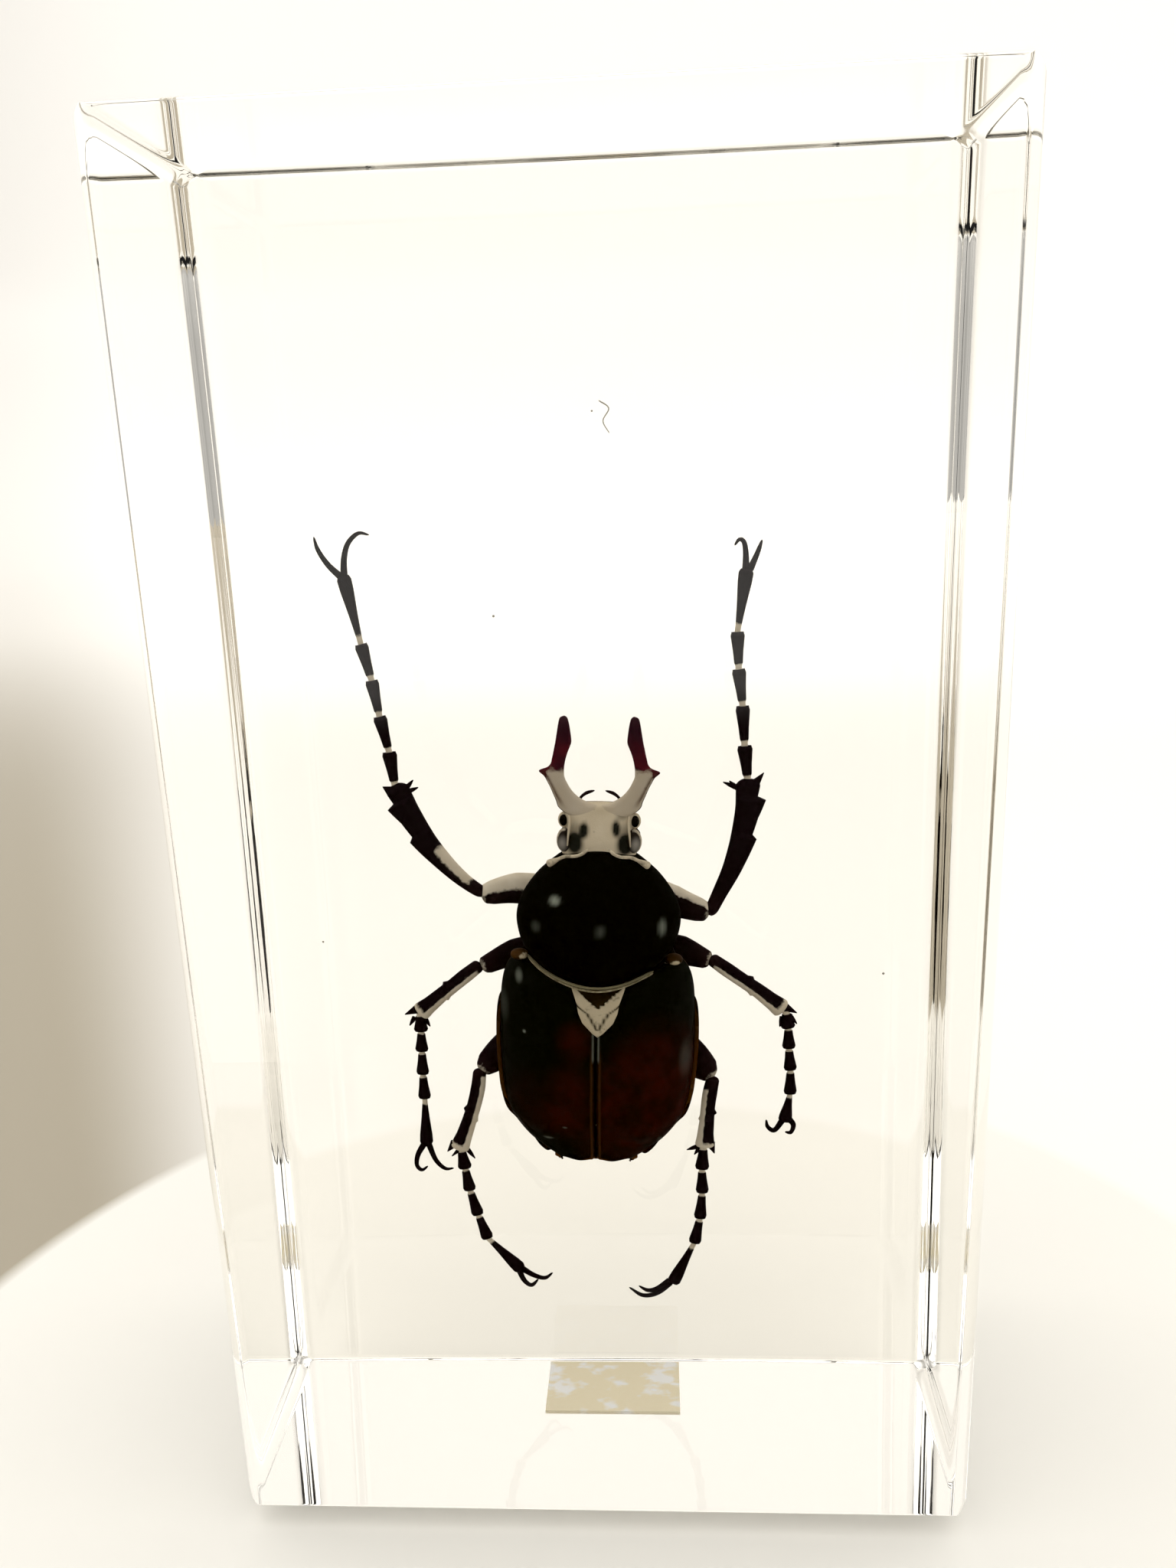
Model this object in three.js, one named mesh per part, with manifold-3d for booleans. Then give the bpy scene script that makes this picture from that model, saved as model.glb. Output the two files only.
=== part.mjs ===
import * as THREE from 'three';
import { mergeVertices } from 'three/addons/utils/BufferGeometryUtils.js';
import Module from 'manifold-3d';

// A flower beetle with forked horns, set in an upright block of clear casting resin.
// Millimetres, +Z up. The origin is under the middle of the block, on the surface that it stands on.
// The beetle's back faces the front of the block, which is at -Y, and its head points up.

// The block
const blockWidth = 41.5;
const blockDepth = 22;
const blockHeight = 73.5;
const uprightEdgeRadius = 1.35;   // the four edges that run up the block
const depthEdgeRadius = 0.8;      // the four edges that run from the front face to the back face
const levelEdgeRadius = 0.3;      // the four edges that run across the front and the back face
const edgeSegments = 4;
const cutMargin = 1;          // how far cutting shapes reach past the block
const partingY = 2.4;         // where the first pour ends and the second begins, level with the legs
const pocketGap = 0.45;       // room between the beetle and the wall of its pocket
const legSlotFront = 0.8;     // the pocket for each leg is a flat slot across the parting plane
const legSlotBack = 4.0;
const legRoom = { shin: 1.1, foot: 0.75, claws: 1.5 };   // half widths before the gap is added

// The paper label under the block
const labelWidth = 8.5;
const labelDepth = 7.4;
const labelThickness = 0.12;
const labelX = 0.4;
const labelY = 6.4;
const labelGap = 0.3;

// The beetle's trunk: its own axis starts at the tail tip and leans to the right
const tailHeight = 18.7;
const trunkLean = THREE.MathUtils.degToRad(2.3);
const sectionPower = 0.85;    // 1 would make the trunk's sections true ellipses

const wasm = await Module();
wasm.setup();

// A closed geometry as a solid that can be joined and cut.
function solid(geometry) {
  const shell = geometry.clone();
  shell.deleteAttribute('normal');
  shell.deleteAttribute('uv');
  const merged = mergeVertices(shell, 1e-4);
  return new wasm.Manifold(new wasm.Mesh({
    numProp: 3,
    vertProperties: new Float32Array(merged.attributes.position.array),
    triVerts: new Uint32Array(merged.index.array),
  }));
}

// A joined or cut solid as a geometry again.
function geometryOf(body) {
  const mesh = body.getMesh();
  const geometry = new THREE.BufferGeometry();
  geometry.setAttribute('position', new THREE.BufferAttribute(mesh.vertProperties, 3));
  geometry.setIndex(new THREE.BufferAttribute(mesh.triVerts, 1));
  geometry.computeVertexNormals();
  return geometry;
}

function joined(geometries) {
  return geometries.map(solid).reduce((whole, piece) => whole.add(piece));
}

// Moves each point of a closed geometry by a rule.
function reshaped(geometry, rule) {
  const points = geometry.attributes.position;
  const point = new THREE.Vector3();
  for (let i = 0; i < points.count; i += 1) {
    const moved = rule(point.fromBufferAttribute(points, i));
    points.setXYZ(i, moved.x, moved.y, moved.z);
  }
  return geometry;
}

// Makes a round cross-section a little fuller at its corners.
function squarer(value) {
  return Math.sign(value) * Math.abs(value) ** sectionPower;
}

// A ball drawn out along Z through stations of [height, half width, rise in front, rise behind].
function form(stations, middleY, columns, rows) {
  const sides = [2, 3].map((rise) => new THREE.CatmullRomCurve3(
    stations.map((station) => new THREE.Vector3(station[1], station[rise], station[0])),
    false,
    'catmullrom',
  ));
  const ball = new THREE.SphereGeometry(1, columns, rows).rotateX(Math.PI / 2);
  return reshaped(ball, (p) => {
    const share = Math.acos(THREE.MathUtils.clamp(-p.z, -1, 1)) / Math.PI;
    const ring = Math.max(Math.hypot(p.x, p.y), 1e-9);
    const at = sides[p.y < 0 ? 0 : 1].getPoint(share);
    const x = at.x * squarer(p.x / ring);
    const y = middleY + at.y * squarer(p.y / ring);
    return new THREE.Vector3(x, y, at.z);
  });
}

// A rod along a path, with its half width at each point of the path. The flatness is its depth
// from front to back as a share of its width.
function rod(path, halfWidths, { flatness = 1, sides = 6, steps = 4 } = {}) {
  const line = new THREE.CatmullRomCurve3(path.map((p) => new THREE.Vector3(...p)));
  const widths = new THREE.SplineCurve(halfWidths.map((w, i) => new THREE.Vector2(i, w)));
  const front = new THREE.Vector3(0, 1, 0);
  return reshaped(new THREE.CylinderGeometry(1, 1, 1, sides, steps), (p) => {
    const share = THREE.MathUtils.clamp(p.y + 0.5, 0, 1);
    const along = line.getTangent(share);
    const across = new THREE.Vector3().crossVectors(along, front).normalize();
    const deep = new THREE.Vector3().crossVectors(across, along);
    const half = Math.max(widths.getPoint(share).y, 0.02);
    return line.getPoint(share)
      .addScaledVector(across, p.x * half)
      .addScaledVector(deep, p.z * half * flatness);
  });
}

// A pointed tooth or spine from its root to its tip.
function spike(root, tip, radius, sides = 5) {
  const from = new THREE.Vector3(...root);
  const way = new THREE.Vector3(...tip).sub(from);
  const turn = new THREE.Quaternion().setFromUnitVectors(
    new THREE.Vector3(0, 1, 0),
    way.clone().normalize(),
  );
  return new THREE.ConeGeometry(radius, way.length(), sides)
    .translate(0, way.length() / 2, 0)
    .applyQuaternion(turn)
    .translate(from.x, from.y, from.z);
}

function lump(x, y, z, halfWidth, halfDepth, halfHeight, columns = 8, rows = 6) {
  return new THREE.SphereGeometry(1, columns, rows)
    .scale(halfWidth, halfDepth, halfHeight)
    .translate(x, y, z);
}

// Stations along the trunk, up from the tail: [height, half width, rise in front, rise behind]
const elytra = {
  middleY: 0.45,
  stations: [
    [-0.05, 0, 0, 0],
    [0.1, 2.35, 0.9, 0.25],
    [1.2, 3.4, 1.7, 0.35],
    [2.9, 4.55, 2.8, 0.4],
    [5.2, 5.3, 3.65, 0.4],
    [7.6, 5.52, 4.05, 0.4],
    [9.8, 5.52, 4.05, 0.4],
    [11.3, 5.4, 3.75, 0.4],
    [12.3, 4.95, 3.1, 0.35],
    [12.8, 0, 0, 0],
  ],
};
const underside = {
  middleY: 0.5,
  stations: [
    [-0.3, 0, 0, 0],
    [0.3, 2.0, 0.3, 1.0],
    [1.8, 3.6, 0.5, 1.9],
    [4.2, 4.8, 0.5, 2.5],
    [7.2, 5.3, 0.5, 2.9],
    [10.5, 5.2, 0.5, 3.1],
    [13.4, 4.0, 0.5, 3.2],
    [16.4, 3.2, 0.5, 2.6],
    [18.6, 1.8, 0.5, 1.5],
    [19.2, 0, 0, 0],
  ],
};
const pronotum = {
  middleY: 0.2,
  stations: [
    [11.45, 0, 0, 0],
    [11.55, 1.0, 3.95, 1.2],
    [12.1, 2.25, 4.15, 1.4],
    [12.8, 3.45, 4.2, 1.6],
    [13.7, 4.35, 4.15, 1.7],
    [14.9, 4.57, 3.95, 1.7],
    [16.3, 4.3, 3.4, 1.6],
    [17.5, 3.5, 2.7, 1.4],
    [18.4, 2.25, 2.0, 1.1],
    [19.1, 0, 0, 0],
  ],
};
const head = {
  middleY: 0.1,
  stations: [
    [17.6, 0, 0, 0],
    [18.3, 1.9, 1.2, 1.2],
    [19.1, 2.3, 1.35, 1.3],
    [20.0, 2.15, 1.2, 1.25],
    [20.8, 1.95, 0.95, 1.0],
    [21.3, 1.45, 0.7, 0.6],
    [21.45, 0, 0, 0],
  ],
};

// One horn, on the right side: it leaves the clypeus as a broad plate, bends forward and up past a
// side spur, and thins to a blunt tip.
const hornPath = [
  [1.0, -0.1, 20.7],
  [1.65, -0.4, 21.4],
  [2.1, -0.7, 22.2],
  [2.38, -0.95, 23.0],
  [2.2, -1.25, 23.8],
  [2.02, -1.65, 24.7],
  [1.9, -2.05, 25.6],
  [1.8, -2.4, 26.35],
];
const hornHalfWidths = [0.6, 0.72, 0.56, 0.5, 0.33, 0.34, 0.29, 0.13];
const hornSpur = { root: [2.35, -0.95, 22.95], tip: [3.16, -1.15, 23.28], radius: 0.42 };

// Feelers, mouth parts and eyes, on the right side
const palp = {
  path: [[1.2, 0.5, 20.4], [1.15, 0.65, 21.4], [0.5, 0.6, 21.95]],
  halfWidths: [0.14, 0.12, 0.07],
};
const feelerStalk = {
  path: [[1.4, 1.0, 20.4], [2.1, 1.25, 20.1], [2.5, 1.3, 19.6]],
  halfWidths: [0.16, 0.12, 0.12],
};
const feelerClub = {
  path: [[2.45, 1.3, 19.75], [2.55, 1.35, 19.2], [2.45, 1.4, 18.6]],
  halfWidths: [0.12, 0.25, 0.08],
};
const eye = { x: 1.95, y: 0, z: 20.4, half: [0.3, 0.45, 0.34] };

// The pockets round the trunk, and round the head and both horns
const trunkRoom = {
  middleY: 0.4,
  stations: [
    [-1.2, 0, 0, 0],
    [0, 4.0, 2.6, 2.2],
    [2.5, 5.8, 3.9, 3.4],
    [6.0, 6.6, 4.8, 3.9],
    [10.5, 6.7, 5.1, 4.2],
    [14.0, 5.8, 5.1, 4.3],
    [17.0, 4.9, 4.3, 3.8],
    [20.6, 0, 0, 0],
  ],
};
const hornRoom = {
  middleY: -0.4,
  stations: [
    [16.0, 0, 0, 0],
    [17.6, 3.4, 2.3, 3.2],
    [19.4, 3.5, 2.6, 3.4],
    [22.0, 3.7, 2.8, 2.8],
    [23.6, 4.1, 2.9, 2.0],
    [25.4, 3.4, 3.1, 1.2],
    [26.9, 2.6, 3.1, 0.6],
    [27.6, 0, 0, 0],
  ],
};

// The small triangular shield between the wing cases, lying on their slope
const scutellum = { halfWidth: 1.35, top: 11.7, tip: 8.9, topY: -3.0, tipY: -3.25, thickness: 0.5 };
const suture = {
  width: 0.24,
  path: [[0, -3.6, 9.2], [0, -3.62, 7.4], [0, -3.2, 5.1], [0, -2.4, 2.9], [0, -1.3, 1.1], [0, -0.2, -0.5]],
};

// Places of the six hip joints under the trunk: [distance from the middle, height, half sizes]
const hips = [
  { x: 1.5, z: 15.9, y: 2.7, half: [1.3, 0.9, 1.1] },
  { x: 1.9, z: 12.0, y: 3.0, half: [1.7, 0.85, 1.0] },
  { x: 2.2, z: 8.2, y: 2.9, half: [2.3, 0.8, 1.2] },
];

// Each leg in the part's own frame. The thigh and the shin have their own paths and half widths,
// the five foot joints run from the ankle through the ends listed, and two claws close the foot.
const legs = [
  {
    thigh: [[-2.0, 2.9, 34.5], [-4.2, 2.6, 34.65], [-6.1, 2.0, 34.45]],
    thighWidths: [0.85, 0.92, 0.55],
    shin: [[-5.9, 2.0, 34.4], [-7.2, 2.05, 35.5], [-8.7, 2.1, 37.4], [-9.9, 2.15, 39.5], [-10.4, 2.2, 40.6]],
    shinWidths: [0.42, 0.55, 0.68, 0.66, 0.7],
    teeth: [[-11.25, 2.2, 40.75], [-10.95, 2.2, 39.15], [-9.95, 2.2, 37.5]],
    spurs: [[-9.5, 2.2, 41.1], [-9.3, 2.3, 40.7]],
    foot: [[-10.6, 2.2, 40.9], [-10.8, 2.3, 42.8], [-11.2, 2.4, 44.8], [-11.5, 2.5, 46.8],
      [-11.95, 2.6, 48.8], [-12.65, 2.8, 52.5]],
    claws: [
      [[-12.75, 2.8, 52.4], [-13.4, 2.7, 53.1], [-13.85, 2.6, 53.9], [-14.0, 2.5, 54.6]],
      [[-12.6, 2.8, 52.4], [-12.5, 2.7, 53.4], [-12.2, 2.6, 54.2], [-11.6, 2.5, 54.7], [-11.0, 2.4, 54.6]],
    ],
  },
  {
    thigh: [[2.8, 2.9, 34.7], [4.8, 2.6, 33.75], [6.8, 2.0, 33.15]],
    thighWidths: [0.85, 0.95, 0.55],
    shin: [[6.8, 2.0, 33.0], [7.4, 2.05, 34.4], [8.1, 2.1, 36.2], [8.75, 2.15, 38.8], [8.95, 2.2, 40.6]],
    shinWidths: [0.42, 0.52, 0.64, 0.64, 0.72],
    teeth: [[9.85, 2.2, 41.05], [9.7, 2.2, 38.8], [9.3, 2.2, 36.95]],
    spurs: [[7.6, 2.2, 40.6], [7.9, 2.3, 40.3]],
    foot: [[8.95, 2.2, 40.8], [8.8, 2.3, 42.7], [8.7, 2.4, 44.9], [8.5, 2.5, 46.9],
      [8.45, 2.6, 48.9], [8.95, 2.8, 52.2]],
    claws: [
      [[8.9, 2.8, 52.1], [8.9, 2.7, 53.0], [8.8, 2.6, 53.6], [8.55, 2.5, 53.75], [8.3, 2.4, 53.45]],
      [[9.1, 2.8, 52.1], [9.5, 2.7, 53.0], [9.75, 2.6, 53.7]],
    ],
  },
  {
    thigh: [[-2.3, 3.0, 31.1], [-4.3, 2.8, 30.8], [-6.35, 1.9, 30.15]],
    thighWidths: [0.75, 0.8, 0.48],
    shin: [[-6.3, 1.9, 30.3], [-7.35, 1.95, 29.5], [-8.9, 2.05, 28.25], [-10.15, 2.2, 27.2]],
    shinWidths: [0.4, 0.44, 0.42, 0.62],
    teeth: [[-8.7, 2.1, 28.95]],
    spurs: [[-10.75, 2.2, 26.45], [-9.55, 2.3, 26.35]],
    foot: [[-10.1, 2.2, 27.2], [-10.1, 2.3, 26.1], [-10.15, 2.4, 24.8], [-10.2, 2.5, 23.3],
      [-10.2, 2.6, 21.7], [-10.3, 2.8, 18.6]],
    claws: [
      [[-10.4, 2.8, 18.7], [-10.85, 2.7, 17.95], [-10.95, 2.6, 17.3], [-10.65, 2.5, 17.0],
        [-10.25, 2.4, 17.3]],
      [[-10.2, 2.8, 18.7], [-9.8, 2.7, 17.6], [-9.25, 2.6, 17.05], [-8.7, 2.5, 17.1]],
    ],
  },
  {
    thigh: [[3.4, 3.0, 31.1], [5.2, 2.8, 30.75], [6.85, 1.9, 30.35]],
    thighWidths: [0.8, 0.9, 0.5],
    shin: [[6.75, 1.9, 30.5], [7.95, 1.95, 29.6], [9.6, 2.05, 28.35], [11.0, 2.2, 27.15]],
    shinWidths: [0.42, 0.45, 0.45, 0.62],
    teeth: [[9.4, 2.1, 29.1]],
    spurs: [[10.75, 2.2, 26.15], [11.75, 2.3, 26.3]],
    foot: [[11.1, 2.2, 27.1], [11.25, 2.3, 26.1], [11.3, 2.4, 24.8], [11.4, 2.5, 23.4],
      [11.4, 2.6, 21.85], [11.1, 2.8, 20.0]],
    claws: [
      [[11.0, 2.8, 20.1], [10.5, 2.7, 19.45], [10.1, 2.6, 19.7], [10.0, 2.5, 20.2]],
      [[11.3, 2.8, 20.2], [11.6, 2.7, 19.8], [11.45, 2.6, 19.35], [11.1, 2.5, 19.4]],
    ],
  },
  {
    thigh: [[-3.0, 3.0, 26.2], [-5.3, 2.8, 24.75], [-6.7, 1.9, 23.6]],
    thighWidths: [0.95, 1.05, 0.5],
    shin: [[-6.7, 1.9, 23.8], [-6.95, 1.95, 22.3], [-7.5, 2.05, 20.5], [-8.3, 2.2, 18.4]],
    shinWidths: [0.38, 0.45, 0.56, 0.66],
    teeth: [[-8.25, 2.1, 20.6]],
    spurs: [[-8.75, 2.2, 18.0], [-7.4, 2.3, 17.85]],
    foot: [[-8.15, 2.2, 18.5], [-8.0, 2.3, 17.2], [-7.8, 2.4, 15.7], [-7.4, 2.5, 14.0],
      [-6.9, 2.6, 12.35], [-4.95, 2.8, 10.1]],
    claws: [
      [[-4.95, 2.8, 10.2], [-4.2, 2.7, 9.75], [-3.5, 2.6, 9.6], [-3.0, 2.5, 10.0]],
      [[-5.1, 2.8, 10.1], [-4.8, 2.7, 9.4], [-4.35, 2.6, 9.1], [-3.9, 2.5, 9.55]],
    ],
  },
  {
    thigh: [[3.6, 3.0, 25.6], [5.6, 2.8, 24.3], [6.9, 1.9, 23.1]],
    thighWidths: [0.95, 1.1, 0.5],
    shin: [[6.9, 1.9, 23.2], [6.65, 1.95, 21.8], [6.5, 2.05, 20.3], [6.35, 2.2, 18.5]],
    shinWidths: [0.4, 0.48, 0.52, 0.6],
    teeth: [[7.35, 2.1, 20.6]],
    spurs: [[5.55, 2.2, 18.0], [7.1, 2.3, 17.9]],
    foot: [[6.3, 2.2, 18.6], [6.2, 2.3, 17.1], [6.2, 2.4, 15.5], [6.05, 2.5, 13.75],
      [5.7, 2.6, 12.05], [4.35, 2.8, 9.2]],
    claws: [
      [[4.3, 2.8, 9.3], [3.4, 2.7, 8.55], [2.5, 2.6, 8.4], [1.65, 2.5, 9.0]],
      [[4.2, 2.8, 9.4], [3.4, 2.7, 8.85], [2.8, 2.6, 8.75], [2.25, 2.5, 9.1]],
    ],
  },
];
const shinFlatness = 0.62;
const thighFlatness = 0.62;
const footJointBase = 0.17;
const footJointOverlap = 0.06;   // share of its length that a joint reaches into the one before
const footJointFlatness = 0.8;
const footJointEnds = [0.4, 0.34, 0.33, 0.33, 0.4];
const clawHalfWidths = [0.17, 0.13, 0.09, 0.04];
const spurRadius = 0.14;
const toothRadius = 0.3;

// Turns a geometry from the trunk's own axis into the part's frame.
function onTrunk(geometry) {
  return geometry.rotateY(trunkLean).translate(0, 0, tailHeight);
}

function mirrored(point, side) {
  return [point[0] * side, point[1], point[2]];
}

function horn(side) {
  const path = hornPath.map((p) => mirrored(p, side));
  return [
    rod(path, hornHalfWidths, { flatness: 0.8, sides: 7, steps: 10 }),
    spike(mirrored(hornSpur.root, side), mirrored(hornSpur.tip, side), hornSpur.radius),
  ];
}

// The small parts of the head, the same on both sides.
function headParts(side) {
  const rods = [palp, feelerStalk, feelerClub].map(({ path, halfWidths }) => (
    rod(path.map((p) => mirrored(p, side)), halfWidths, { steps: 3, sides: 5 })
  ));
  return [...rods, lump(eye.x * side, eye.y, eye.z, ...eye.half)];
}

function shield() {
  const { halfWidth, top, tip, topY, tipY, thickness } = scutellum;
  const outline = new THREE.Shape([
    new THREE.Vector2(-halfWidth, top),
    new THREE.Vector2(0, tip),
    new THREE.Vector2(halfWidth, top),
  ]);
  const plate = new THREE.ExtrudeGeometry(outline, { depth: thickness, bevelEnabled: false });
  return reshaped(plate.rotateX(Math.PI / 2), (p) => {
    const slope = THREE.MathUtils.mapLinear(p.z, tip, top, tipY, topY);
    return new THREE.Vector3(p.x, p.y + slope, p.z);
  });
}

// A narrow cut down the line where the wing cases meet, as deep as it is at each height.
function sutureGroove() {
  const { width, path } = suture;
  return rod(path, path.map(() => width / 2), { sides: 4, steps: 6 });
}

function trunk() {
  const shell = joined([form(elytra.stations, elytra.middleY, 24, 15)])
    .subtract(solid(sutureGroove()));
  const pieces = [
    form(underside.stations, underside.middleY, 18, 12),
    form(pronotum.stations, pronotum.middleY, 22, 13),
    form(head.stations, head.middleY, 14, 8),
    shield(),
    ...horn(-1),
    ...horn(1),
    ...headParts(-1),
    ...headParts(1),
  ];
  for (const hip of hips) {
    for (const side of [-1, 1]) {
      pieces.push(lump(hip.x * side, hip.y, hip.z, ...hip.half));
    }
  }
  return shell.add(joined(pieces));
}

// A foot joint is a narrow trumpet whose mouth ends in two sharp corners.
function footJoint(from, to, endHalfWidth) {
  const start = new THREE.Vector3(...from);
  const tail = start.lerp(new THREE.Vector3(...to), -footJointOverlap).toArray();
  return rod([tail, to], [footJointBase, endHalfWidth], { steps: 1, flatness: footJointFlatness });
}

function nearestOn(path, tip) {
  const target = new THREE.Vector3(...tip);
  const points = new THREE.CatmullRomCurve3(path.map((p) => new THREE.Vector3(...p))).getPoints(24);
  points.sort((a, b) => a.distanceTo(target) - b.distanceTo(target));
  return points[0].toArray();
}

function leg({ thigh, thighWidths, shin, shinWidths, teeth, spurs, foot, claws }) {
  const pieces = [
    rod(thigh, thighWidths, { flatness: thighFlatness, sides: 8, steps: 3 }),
    rod(shin, shinWidths, { flatness: shinFlatness, sides: 6, steps: 4 }),
  ];
  for (const tip of teeth) {
    pieces.push(spike(nearestOn(shin, tip), tip, toothRadius, 4));
  }
  for (const tip of spurs) {
    pieces.push(spike(shin[shin.length - 1], tip, spurRadius, 4));
  }
  footJointEnds.forEach((end, i) => pieces.push(footJoint(foot[i], foot[i + 1], end)));
  for (const claw of claws) {
    pieces.push(rod(claw, clawHalfWidths, { sides: 4, steps: 4 }));
  }
  return joined(pieces);
}

function beetleSolid() {
  const trunkSolid = solid(onTrunk(geometryOf(trunk())));
  return legs.map(leg).reduce((whole, limb) => whole.add(limb), trunkSolid);
}

// A flat slot from one point to the next, open across the parting plane.
function legSlot(from, to, halfWidth) {
  const start = new THREE.Vector2(from[0], from[2]);
  const way = new THREE.Vector2(to[0], to[2]).sub(start);
  const length = way.length() + 2 * halfWidth;
  const middle = start.addScaledVector(way, 0.5);
  return new THREE.BoxGeometry(length, legSlotBack - legSlotFront, 2 * halfWidth)
    .rotateY(-way.angle())
    .translate(middle.x, (legSlotFront + legSlotBack) / 2, middle.y);
}

function legPocket({ thigh, shin, foot, claws }) {
  const knee = thigh[thigh.length - 1];
  const ankle = shin[shin.length - 1];
  const bend = foot[4];
  const tips = claws.map((claw) => new THREE.Vector3(...claw[claw.length - 1]));
  const reach = tips[0].lerp(tips[1], 0.5).toArray();
  return [
    legSlot(thigh[0], knee, legRoom.shin + pocketGap),
    legSlot(knee, ankle, legRoom.shin + pocketGap),
    legSlot(ankle, bend, legRoom.foot + pocketGap),
    legSlot(bend, reach, legRoom.claws + pocketGap),
  ];
}

// The pocket follows the beetle with some room all round, and is plainer than the beetle.
function pocketSolid() {
  const trunkPieces = [trunkRoom, hornRoom].map((room) => form(room.stations, room.middleY, 12, 8));
  return joined([...trunkPieces.map(onTrunk), ...legs.flatMap(legPocket)]);
}

// A bar along Z whose section is a rectangle with rounded corners, with its middle at the origin.
function bar(width, depth, length, radius) {
  const right = width / 2 - radius;
  const back = depth / 2 - radius;
  const outline = new THREE.Shape();
  outline.absarc(right, -back, radius, -Math.PI / 2, 0);
  outline.absarc(right, back, radius, 0, Math.PI / 2);
  outline.absarc(-right, back, radius, Math.PI / 2, Math.PI);
  outline.absarc(-right, -back, radius, Math.PI, 1.5 * Math.PI);
  return new THREE.ExtrudeGeometry(outline, {
    depth: length + 2 * cutMargin,
    curveSegments: edgeSegments,
    bevelEnabled: false,
  }).translate(0, 0, -length / 2 - cutMargin);
}

// The block is what three crossed bars have in common, so its edges are rounder one way than another.
function blockSolid() {
  const upright = bar(blockWidth, blockDepth, blockHeight, uprightEdgeRadius);
  const frontToBack = bar(blockWidth, blockHeight, blockDepth, depthEdgeRadius).rotateX(Math.PI / 2);
  const level = bar(blockHeight, blockDepth, blockWidth, levelEdgeRadius).rotateY(Math.PI / 2);
  return solid(upright).intersect(solid(frontToBack)).intersect(solid(level))
    .translate([0, 0, blockHeight / 2]);
}

function box(width, depth, height, x, y, z) {
  return new THREE.BoxGeometry(width, depth, height).translate(x, y, z);
}

// The share of the block in front of the parting plane, or behind it.
function pour(block, fromY, toY) {
  const length = toY - fromY;
  const width = blockWidth + 2 * cutMargin;
  const height = blockHeight + 2 * cutMargin;
  const room = box(width, length, height, 0, fromY + length / 2, blockHeight / 2);
  return block.intersect(solid(room));
}

const clearResin = new THREE.MeshStandardMaterial({
  color: '#f3f1e4',
  roughness: 0.05,
  metalness: 0,
  transparent: true,
  opacity: 0.3,
});
const darkCuticle = new THREE.MeshStandardMaterial({ color: '#21131a', roughness: 0.4, metalness: 0 });
const buffPaper = new THREE.MeshStandardMaterial({ color: '#d6cba6', roughness: 0.85, metalness: 0 });

function mesh(name, body, material) {
  const piece = new THREE.Mesh(geometryOf(body), material);
  piece.name = name;
  return piece;
}

const block = blockSolid();
const pocket = pocketSolid();
const labelRecess = solid(box(
  labelWidth + 2 * labelGap,
  labelDepth + 2 * labelGap,
  2 * labelThickness,
  labelX,
  labelY,
  0,
));
const label = solid(box(labelWidth, labelDepth, labelThickness, labelX, labelY, labelThickness / 2));

const group = new THREE.Group();
group.add(
  mesh('resin_front', pour(block, -blockDepth, partingY).subtract(pocket), clearResin),
  mesh('resin_back', pour(block, partingY, blockDepth).subtract(pocket).subtract(labelRecess), clearResin),
  mesh('beetle', beetleSolid(), darkCuticle),
  mesh('label', label, buffPaper),
);

export default group;
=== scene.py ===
import math

import bmesh
import bpy
import numpy as np
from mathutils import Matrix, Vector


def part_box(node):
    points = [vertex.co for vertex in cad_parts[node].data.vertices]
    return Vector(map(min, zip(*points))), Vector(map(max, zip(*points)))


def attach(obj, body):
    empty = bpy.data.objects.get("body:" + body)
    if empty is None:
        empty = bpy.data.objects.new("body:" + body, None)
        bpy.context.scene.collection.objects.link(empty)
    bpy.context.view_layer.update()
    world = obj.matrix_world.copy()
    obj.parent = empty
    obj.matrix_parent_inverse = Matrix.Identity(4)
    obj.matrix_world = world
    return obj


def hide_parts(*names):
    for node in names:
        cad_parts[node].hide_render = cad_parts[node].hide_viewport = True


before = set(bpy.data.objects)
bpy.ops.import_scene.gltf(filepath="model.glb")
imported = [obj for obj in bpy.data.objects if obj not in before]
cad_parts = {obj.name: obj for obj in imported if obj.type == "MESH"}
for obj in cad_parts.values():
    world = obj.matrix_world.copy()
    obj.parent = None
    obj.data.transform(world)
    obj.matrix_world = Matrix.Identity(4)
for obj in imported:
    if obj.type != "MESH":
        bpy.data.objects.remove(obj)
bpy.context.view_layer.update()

# The trunk's underside: belly plates and breast of one hard black shell, grown together. It is
# modelled as one closed skin whose plates overlap towards the tail, as roof tiles do.
millimetre = 0.001
tail_height = 18.7                  # the tail tip above the block's foot
trunk_lean = math.radians(2.3)      # the trunk's own axis leans to the right
section_power = 0.85                # 1 would make the trunk's sections true ellipses
underside_middle = 0.5
underside_stations = [              # height above the tail, half width, rise in front, rise behind
    (-0.3, 0, 0, 0),
    (0.3, 2.0, 0.3, 1.0),
    (1.8, 3.6, 0.5, 1.9),
    (4.2, 4.8, 0.5, 2.5),
    (7.2, 5.3, 0.5, 2.9),
    (10.5, 5.2, 0.5, 3.1),
    (13.4, 4.0, 0.5, 3.2),
    (16.4, 3.2, 0.5, 2.6),
    (18.6, 1.8, 0.5, 1.5),
    (19.2, 0, 0, 0),
]
belly_plate_length = 1.5
belly_plate_step = 0.16
belly_top = 8.6
breast_groove = {"top": 13.0, "half_width": 0.25, "depth": 0.2}


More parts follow.
